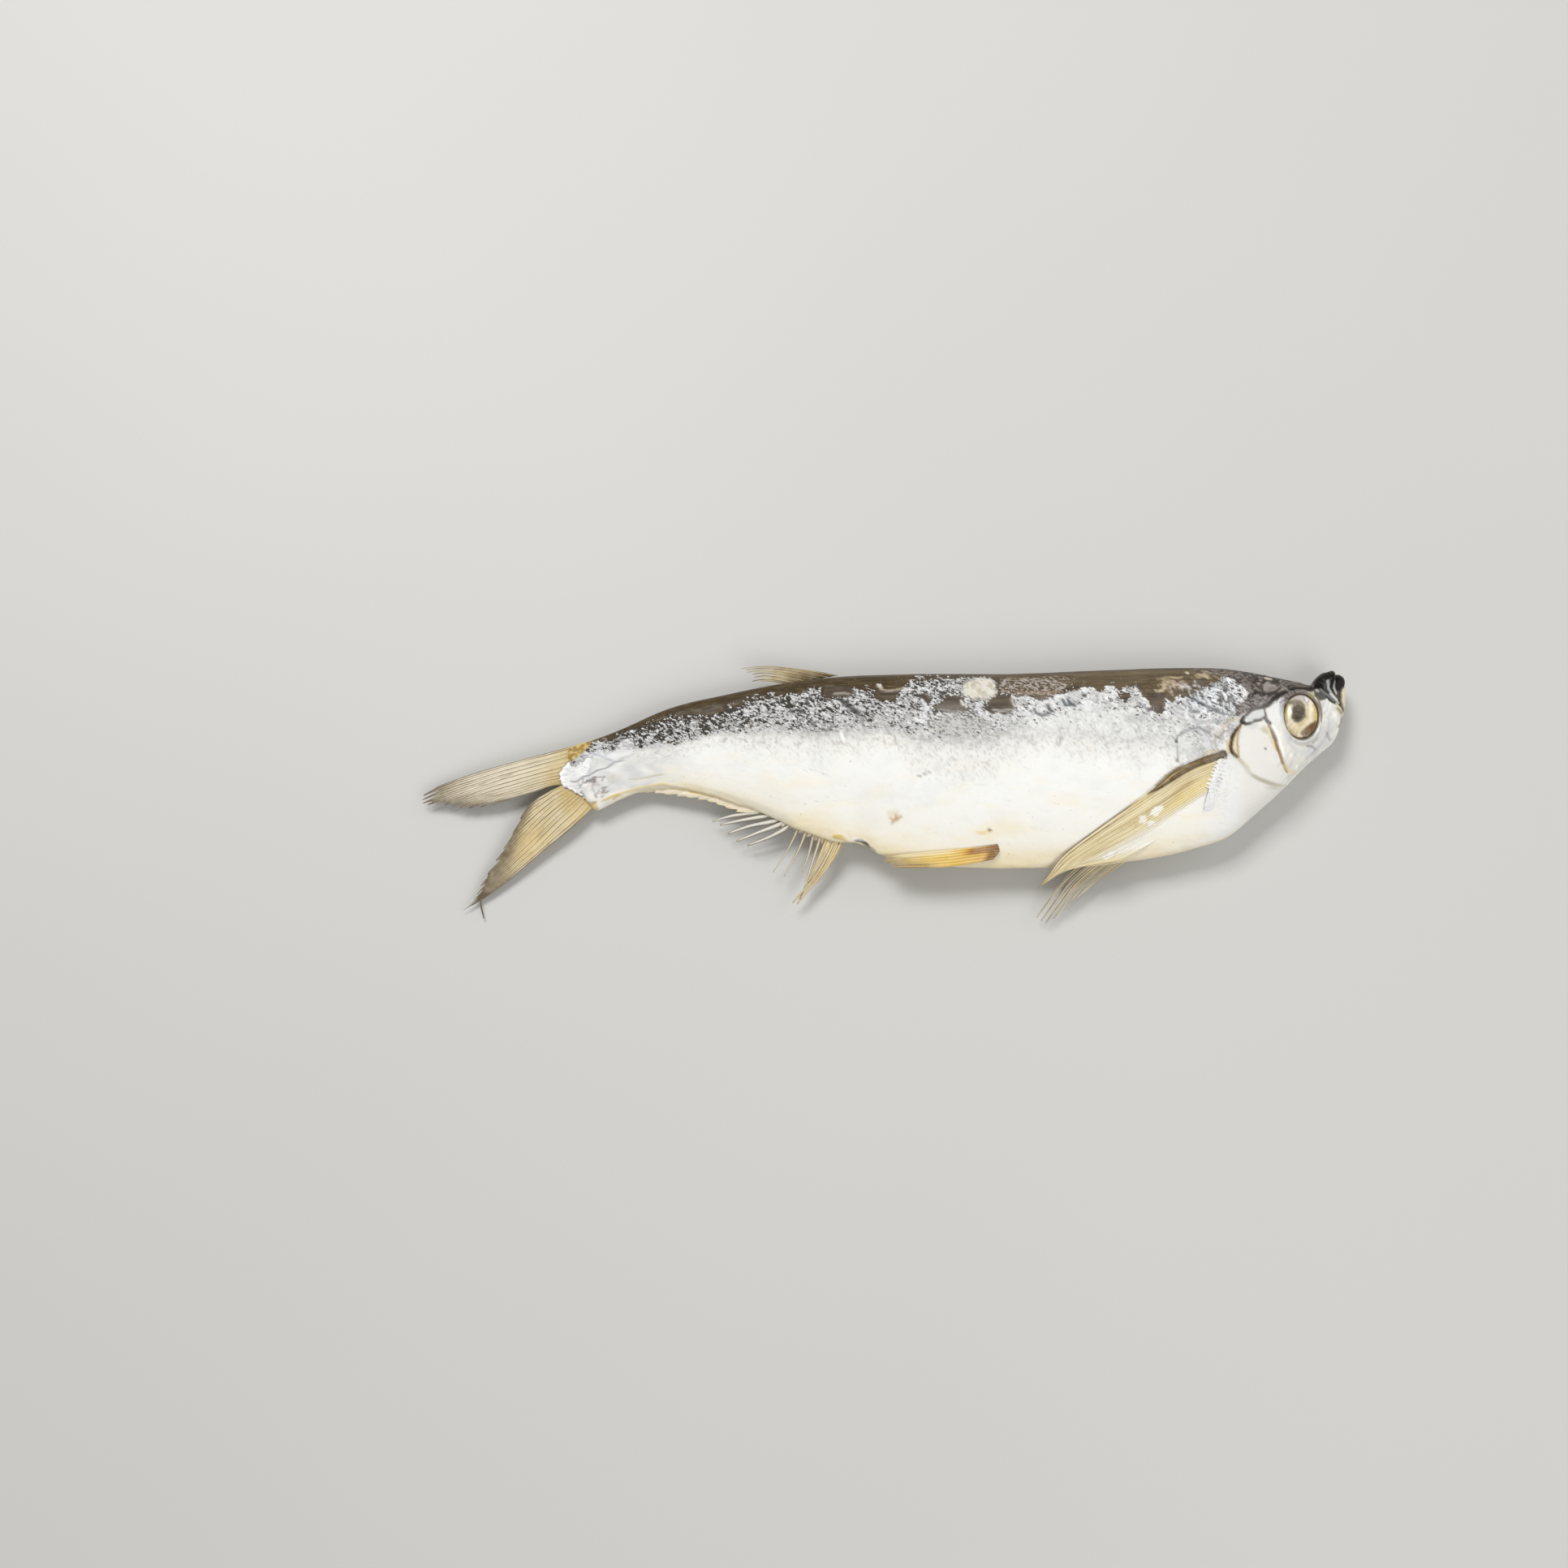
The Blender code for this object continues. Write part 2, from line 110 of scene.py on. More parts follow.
def section_of(x, y):
    """The section through points seen from above, and their share of the way from keel to back."""
    s = np.array(x, float)
    for _ in range(4):
        row = stations(np.clip(s, STATION_KNOTS[0], STATION_KNOTS[-1]))
        share = (y - row[:, 3]) / (row[:, 1] - row[:, 3])
        s = s + x - (row[:, 2] + share * (row[:, 0] - row[:, 2]))
    return row, share


def flank_height(x, y, side):
    """Height of the right or left flank, carried on in a straight line past the keel."""
    row, share = section_of(x, y)
    half, middle, keel, back = row[:, 4], row[:, 5], row[:, 6], row[:, 7]
    edge, step = fullness(KEEL_SHARE, keel, back), 0.01
    slope = (fullness(KEEL_SHARE + step, keel, back) - edge) / step
    past = edge + slope * (share - KEEL_SHARE)
    return middle + side * half * np.where(share < KEEL_SHARE, past, fullness(share, keel, back))


def undulation(x, y, side):
    """Slow dents and swellings of the dried flank."""
    slow = 0.42 * noise(x / 31, y / 17, side * 3.0, 1)
    return slow + 0.16 * noise(x / 11, y / 8, side * 3.0, 2)


def eye_radius(x, y):
    """How far out points are from the eye's centre, 1 at its rim, and in which direction."""
    dx, dy = x - EYE_CENTRE[0], y - EYE_CENTRE[1]
    across = dx * math.cos(EYE_LEAN) + dy * math.sin(EYE_LEAN)
    upwards = dy * math.cos(EYE_LEAN) - dx * math.sin(EYE_LEAN)
    return np.hypot(across / EYE_HALF_WIDTH, upwards / EYE_HALF_HEIGHT), np.arctan2(upwards, across)


def seen(points):
    """Where the camera sees points on the plane z = PLANE."""
    x, y, z = CAMERA_AT
    k = (PLANE - z) / (points[..., 2] - z)
    return x + (points[..., 0] - x) * k, y + (points[..., 1] - y) * k


def placed(u, v, z):
    """The x and y of points at height z that the camera sees at u, v."""
    camera_x, camera_y, camera_z = CAMERA_AT
    k = (z - camera_z) / (PLANE - camera_z)
    return camera_x + (u - camera_x) * k, camera_y + (v - camera_y) * k


def raise_path(u, v, share, height):
    """True points of a surface seen at u, v, whose height is a function of x, y and share."""
    z = np.full(u.shape, PLANE)
    for _ in range(3):
        x, y = placed(u, v, z)
        z = height(x.ravel(), y.ravel(), share.ravel()).reshape(u.shape)
    return x, y, z


# ---------------------------------------------------------------- noise, masks and colours
RANDOM = np.random.RandomState(11)
SHUFFLE = RANDOM.permutation(256)
GRADIENTS = RANDOM.normal(size=(256, 3))
GRADIENTS /= np.linalg.norm(GRADIENTS, axis=1)[:, None]
CHANCE = RANDOM.uniform(size=(256, 4))
SEED_SHIFT, NOISE_GAIN, OCTAVE_STEP = 17.31, 1.7, 2.03
FAR = 99.0


def noise(x, y, z=0.0, seed=0):
    """Gradient noise of arrays of coordinates, about -1 to 1."""
    p = np.stack(np.broadcast_arrays(x, y, z), axis=-1).astype(float) + seed * SEED_SHIFT
    shape = p.shape[:-1]
    p = p.reshape(-1, 3)
    cell = np.floor(p).astype(int)
    f = p - cell
    w = f * f * f * (f * (f * 6 - 15) + 10)
    total = np.zeros(len(p))
    for corner in range(8):
        o = np.array((corner & 1, corner >> 1 & 1, corner >> 2 & 1))
        c = (cell + o) & 255
        g = GRADIENTS[SHUFFLE[(SHUFFLE[(SHUFFLE[c[:, 0]] + c[:, 1]) & 255] + c[:, 2]) & 255]]
        total += np.prod(np.where(o, w, 1 - w), axis=1) * (g * (f - o)).sum(axis=1)
    return (total * NOISE_GAIN).reshape(shape)


def layered(x, y, z=0.0, seed=0, octaves=3):
    """Noise with finer and weaker noise on it."""
    total = 0.0
    for k in range(octaves):
        scale = OCTAVE_STEP**k
        total = total + 0.5**k * noise(x * scale, y * scale, z * scale, seed + k)
    return total / 1.5


def flakes(x, y, seed=0):
    """Cells of about one unit: a chance value 0 to 1 for each, and the distance to its edge."""
    cx, cy = np.floor(x).astype(int), np.floor(y).astype(int)
    first, second, value = np.full(x.shape, FAR), np.full(x.shape, FAR), np.zeros(x.shape)
    for i in (-1, 0, 1):
        for j in (-1, 0, 1):
            chance = CHANCE[SHUFFLE[(SHUFFLE[(cx + i + seed * 37) & 255] + cy + j) & 255]]
            d = np.hypot(cx + i + chance[..., 0] - x, cy + j + chance[..., 1] - y)
            nearer = d < first
            second = np.where(nearer, first, np.minimum(second, d))
            value = np.where(nearer, chance[..., 2], value)
            first = np.where(nearer, d, first)
    return value, second - first


def smooth(value, low, high):
    """0 below low, 1 above high, with a soft step between; low may be the larger."""
    t = np.clip((value - low) / (high - low), 0, 1)
    return t * t * (3 - 2 * t)


def band(value, start, full, fall, end):
    """1 from full to fall, with soft steps down to 0 at start and end."""
    return smooth(value, start, full) * smooth(value, end, fall)


def line_at(value, centre, reach, core):
    """1 within core of the centre, 0 past its reach."""
    return smooth(np.abs(value - centre), reach, core)


def blend(a, b, share):
    """Colours a turned into b by a share for each point."""
    share = np.asarray(share)[..., None]
    return np.asarray(a, float) * (1 - share) + np.asarray(b, float) * share


def coats(colour, *layers):
    """Colours with layers laid over them in turn, each a shade and its share for each point."""
    for shade, share in layers:
        colour = blend(colour, shade, share)
    return colour


def linear(colour):
    """From the 0 to 255 of a picture to Blender's linear values."""
    c = np.asarray(colour, float) / 255
    return np.where(c <= 0.04045, c / 12.92, ((np.maximum(c, 0) + 0.055) / 1.055) ** 2.4)


def to_segment(x, y, start, end):
    """How far points are from a straight line, and the share of the way along it where they are closest."""
    (ax, ay), (bx, by) = start, end
    dx, dy = bx - ax, by - ay
    t = np.clip(((x - ax) * dx + (y - ay) * dy) / (dx * dx + dy * dy), 0, 1)
    return np.hypot(x - ax - t * dx, y - ay - t * dy), t


def distance_to(x, y, points, count=24):
    """How far points are from a curve, on which side (right is positive) and how far along it, 0 to 1."""
    line = curve(points, np.linspace(0, 1, count))
    best, side, along = np.full(x.shape, FAR), np.ones(x.shape), np.zeros(x.shape)
    for k, (start, end) in enumerate(zip(line[:-1], line[1:])):
        d, t = to_segment(x, y, start, end)
        turn = (end[1] - start[1]) * (x - start[0]) - (end[0] - start[0]) * (y - start[1])
        nearer = d < best
        best = np.where(nearer, d, best)
        side = np.where(nearer, np.sign(turn + 1e-9), side)
        along = np.where(nearer, (k + t) / (count - 1), along)
    return best, side, along


def near(x, y, points, margin):
    """The points within a margin of the box round a mark."""
    (x0, y0), (x1, y1) = np.min(points, axis=0) - margin, np.max(points, axis=0) + margin
    return (x > x0) & (x < x1) & (y > y0) & (y < y1)


def patch(x, y, points, soft=0.3):
    """1 inside a closed outline, 0 outside, with a soft edge."""
    mask = np.zeros(x.shape)
    close = near(x, y, points, soft * 2)
    px, py = x[close], y[close]
    inside, gap = np.zeros(px.shape, bool), np.full(px.shape, FAR)
    for start, end in zip(points, points[1:] + points[:1]):
        gap = np.minimum(gap, to_segment(px, py, start, end)[0])
        (ax, ay), (bx, by) = start, end
        with np.errstate(divide="ignore", invalid="ignore"):
            inside ^= ((ay > py) != (by > py)) & (px < (bx - ax) * (py - ay) / (by - ay) + ax)
    mask[close] = smooth(np.where(inside, gap, -gap), -soft, soft)
    return mask


def stroke(x, y, points, half_width, soft=0.35):
    """1 on a line that thins towards its ends, 0 away from it."""
    mask = np.zeros(x.shape)
    close = near(x, y, points, half_width * 3 + soft)
    if close.any():
        gap, _, along = distance_to(x[close], y[close], points)
        width = half_width * (0.45 + 0.55 * np.sin(np.clip(along, 0.02, 0.98) * math.pi) ** 0.6)
        mask[close] = smooth(gap, width + soft, width * 0.4)
    return mask


# ---------------------------------------------------------------- meshes
def make_object(name, points, faces):
    """A smooth-shaded object from points in millimetres."""
    mesh = bpy.data.meshes.new(name)
    mesh.from_pydata((np.asarray(points, float) * MM).tolist(), [], faces)
    mesh.validate()
    mesh.shade_smooth()
    obj = bpy.data.objects.new(name, mesh)
    bpy.context.scene.collection.objects.link(obj)
    return obj


def colour_points(obj, colours, name="tint"):
    """Stores a colour for each point."""
    layer = obj.data.attributes.new(name, "FLOAT_COLOR", "POINT")
    rgba = np.ones((len(obj.data.vertices), 4))
    rgba[:, :3] = linear(np.clip(np.reshape(colours, (-1, 3)), 0, 255))
    layer.data.foreach_set("color", rgba.ravel())


def value_points(obj, **values):
    """Stores named values for each point."""
    for name, value in values.items():
        layer = obj.data.attributes.new(name, "FLOAT", "POINT")
        layer.data.foreach_set("value", np.asarray(value, float).ravel())


def closed_grid(rows, columns, offset=0):
    """Quads of a grid of points whose columns close on themselves."""
    index = np.arange(rows * columns).reshape(rows, columns) + offset
    a, b = index[:-1], index[1:]
    return np.stack([a, np.roll(a, -1, 1), np.roll(b, -1, 1), b], axis=-1).reshape(-1, 4).tolist()


def capped_grid(rows, columns, base=0):
    """Faces of a closed surface whose points start at base: rows of rings, then a point for each end."""
    top, tip, last = base + rows * columns, base + rows * columns + 1, base + (rows - 1) * columns
    after = [(k + 1) % columns for k in range(columns)]
    faces = closed_grid(rows, columns, base)
    faces += [(top, base + after[k], base + k) for k in range(columns)]
    return faces + [(tip, last + k, last + after[k]) for k in range(columns)]


def flipped(faces):
    """The same faces, seen from the other side."""
    return [tuple(reversed(face)) for face in faces]


def thin_solid(name, x, y, top, low, colours):
    """A closed thin sheet between two heights over a grid of points, with a wall round its edge."""
    columns, rows = x.shape
    n = columns * rows
    points = np.concatenate([np.stack([x, y, z], -1).reshape(-1, 3) for z in (top, low)])
    index = np.arange(n).reshape(columns, rows)
    quads = np.stack([index[:-1, :-1], index[1:, :-1], index[1:, 1:], index[:-1, 1:]], -1).reshape(-1, 4)
    border = np.concatenate([index[:, 0], index[-1, 1:], index[-2::-1, -1], index[0, -2:0:-1]])
    after = np.roll(border, -1)
    walls = np.stack([after, border, border + n, after + n], -1)
    i, j = columns // 2, rows // 2
    across = points[index[i + 1, j], :2] - points[index[i, j], :2]
    along = points[index[i, j + 1], :2] - points[index[i, j], :2]
    if across[0] * along[1] - across[1] * along[0] < 0:
        quads, walls = quads[:, ::-1], walls[:, ::-1]
    faces = quads.tolist() + (quads[:, ::-1] + n).tolist() + walls.tolist()
    obj = make_object(name, points, faces)
    colour_points(obj, np.concatenate([colours.reshape(-1, 3)] * 2))
    return obj


# ---------------------------------------------------------------- marks of the skin, in u and v
# seams of the head's plates, the gill slit and the mouth
SKULL_LINE = (
    (64.8, 12.6), (67.4, 14.9), (70.2, 15.8), (72.6, 16.6), (74.2, 18.2), (76.2, 19.8), (78.4, 21.0),
    (80.6, 22.1), (83.2, 22.8), (87.8, 22.4),
)
PLATE_SEAM = (
    (71.9, 15.0), (72.0, 12.8), (70.6, 11.9), (68.4, 11.2), (66.2, 10.4), (64.6, 10.2),
)
CHEEK_SEAM = (
    (72.9, 9.8), (73.9, 7.6), (74.7, 5.2), (75.3, 2.4), (76.1, -0.6), (76.8, -3.4), (77.6, -5.6),
)
GILL_SLIT = (
    (64.2, 10.8), (62.6, 8.9), (61.2, 6.8), (60.5, 4.6), (60.1, 2.4), (60.4, 0.8), (62.0, -1.2),
)
OPERCLE_RIM = (
    (63.6, 9.4), (62.7, 7.4), (62.3, 5.0), (62.2, 2.0), (62.3, -0.8), (63.9, -3.4), (66.6, -6.9),
    (70.4, -8.6), (74.0, -9.9), (78.0, -10.6), (84.0, -12.5),
)
MOUTH = (
    (98.3, 23.4), (97.5, 21.6), (97.3, 19.4), (97.3, 17.2), (97.8, 14.9),
)
# outlines of the dark skull, the streaked nape and the snout
SKULL = [
    (46.3, 31.5), (62.1, 30.8), (71.6, 29.3), (78.0, 27.9), (82.2, 26.4), (88.9, 25.7), (88.4, 21.6),
    (86.8, 21.5), (83.4, 21.1), (81.2, 20.2), (79.4, 18.8), (78.0, 19.8), (76.2, 18.4), (74.2, 16.6),
    (71.8, 15.6), (70.2, 15.6), (67.4, 15.2), (65.3, 14.5), (63.4, 12.9), (62.4, 14.2), (63.4, 16.7),
    (65.8, 18.2), (67.4, 20.7), (65.3, 23.6), (62.1, 25.8), (57.5, 26.9), (50.5, 27.6),
]
NAPE = [
    (46.0, 17.6), (48.5, 20.6), (52.0, 22.6), (56.6, 24.8), (60.0, 27.2), (65.0, 27.6), (68.2, 25.6),
    (68.4, 22.0), (69.2, 19.4), (67.0, 17.0), (64.6, 14.6), (62.2, 12.0), (59.6, 8.0), (55.6, 6.4),
    (51.4, 9.4), (47.6, 13.0),
]
SNOUT = [
    (88.8, 19.8), (88.5, 22.5), (88.5, 24.6), (89.4, 26.2), (91.2, 27.6), (93.0, 28.0), (95.0, 27.8),
    (96.6, 27.2), (98.2, 27.2), (99.4, 25.4), (98.8, 23.4), (97.7, 21.8), (97.3, 19.8), (97.3, 17.6),
    (97.1, 15.7), (95.6, 16.9), (94.2, 17.8), (93.3, 18.3), (92.5, 19.4), (90.6, 18.4),
]
# outline, colour, strength, softness, relief
PATCHES = (
    ([(71.9, 22.0), (72.0, 23.8), (73.4, 24.9), (75.0, 24.4), (75.9, 23.0), (75.0, 21.6), (73.2, 21.2)],
     (158, 149, 144), 0.92, 0.35, 0.2),
    ([(65.2, 12.4), (67.0, 14.4), (69.5, 15.2), (71.4, 15.3), (71.8, 13.6), (70.6, 12.5), (68.4, 11.9),
      (66.2, 11.2)], (206, 209, 207), 0.95, 0.3, 0.2),
    ([(77.9, 19.6), (80.0, 21.0), (83.2, 21.9), (88.0, 21.5), (87.6, 22.6), (83.0, 23.2), (79.4, 22.0)],
     (72, 67, 62), 0.7, 0.5, 0.0),
    ([(86.2, 19.0), (86.4, 21.2), (88.4, 21.4), (89.0, 19.6), (88.0, 18.6)], (150, 144, 98), 0.7, 0.5,
     0.0),
    ([(73.2, 12.2), (73.8, 16.0), (75.4, 18.2), (77.2, 19.2), (77.0, 15.0), (77.4, 11.0), (75.4, 9.8)],
     (229, 230, 228), 0.8, 0.6, 0.0),
    ([(79.5, 3.6), (83.5, 1.4), (88.6, 4.2), (91.4, 9.0), (92.3, 15.0), (90.6, 17.5), (94.5, 12.0),
      (92.8, 5.0), (87.0, -0.4), (80.5, 0.4)], (202, 203, 205), 0.6, 1.2, 0.0),
    ([(69.8, 8.6), (71.6, 9.6), (72.8, 8.6), (72.4, 6.8), (71.0, 7.4)], (166, 154, 122), 0.55, 0.7, 0.0),
    ([(65.4, 9.6), (67.4, 10.2), (69.4, 10.6), (69.0, 8.8), (67.0, 8.4)], (198, 200, 200), 0.6, 0.6,
     0.0),
    (SNOUT, (16, 14, 10), 0.99, 0.3, 0.0),
    ([(88.9, 20.8), (89.3, 22.3), (90.8, 22.2), (92.6, 20.2), (92.2, 18.8), (90.6, 18.4), (89.3, 19.4)],
     (92, 94, 86), 0.9, 0.45, 0.1),
    ([(95.5, 21.6), (97.1, 21.9), (97.4, 19.6), (97.1, 16.8), (95.7, 18.2), (95.1, 20.0)], (90, 78, 68),
     0.85, 0.4, 0.0),
    ([(90.5, 17.8), (92.2, 18.7), (93.0, 17.6), (92.4, 14.6), (91.2, 13.4), (90.4, 15.4)],
     (196, 194, 198), 0.6, 0.5, 0.0),
    ([(95.4, 15.6), (96.2, 16.6), (96.9, 15.6), (97.6, 14.2), (96.9, 13.4), (96.3, 14.4)],
     (150, 128, 92), 0.75, 0.4, 0.05),
    ([(97.8, 22.6), (99.2, 23.2), (100.2, 20.3), (100.0, 17.4), (98.8, 14.6), (97.6, 15.6), (97.4, 18.0),
      (97.5, 20.6)], (230, 221, 192), 0.95, 0.3, 0.15),
    ([(-149.0, -1.0), (-148.6, 1.2), (-144.5, 1.7), (-142.0, 1.2), (-140.4, 2.4), (-139.2, 5.0),
      (-137.0, 5.4), (-135.4, 4.6), (-134.6, 2.8), (-136.0, 0.0), (-142.0, -2.0)], (234, 235, 235), 0.7,
     0.5, 0.2),
    ([(-144.0, -7.4), (-141.6, -6.0), (-137.6, -6.4), (-139.4, -8.6), (-143.0, -9.2)], (206, 203, 190),
     0.6, 0.8, 0.1),
    # soft greys under the silver, and stains
    ([(25.0, 13.4), (29.0, 13.8), (33.6, 12.6), (32.0, 11.2), (27.0, 10.6)], (176, 178, 174), 0.6, 1.2,
     0.0),
    ([(-34.0, 13.6), (-26.0, 13.6), (-20.0, 12.4), (-21.0, 9.0), (-27.0, 5.6), (-35.0, 6.4),
      (-39.0, 10.0)], (186, 185, 178), 0.6, 2.4, 0.0),
    ([(-52.5, -18.8), (-49.2, -18.2), (-47.6, -20.2), (-49.0, -22.8), (-51.8, -22.6)], (232, 212, 184),
     0.5, 0.8, 0.0),
    ([(-26.0, -25.4), (-16.0, -21.6), (-8.0, -23.0), (-12.0, -26.0), (-20.0, -28.6)], (244, 230, 196),
     0.55, 2.0, 0.0),
)
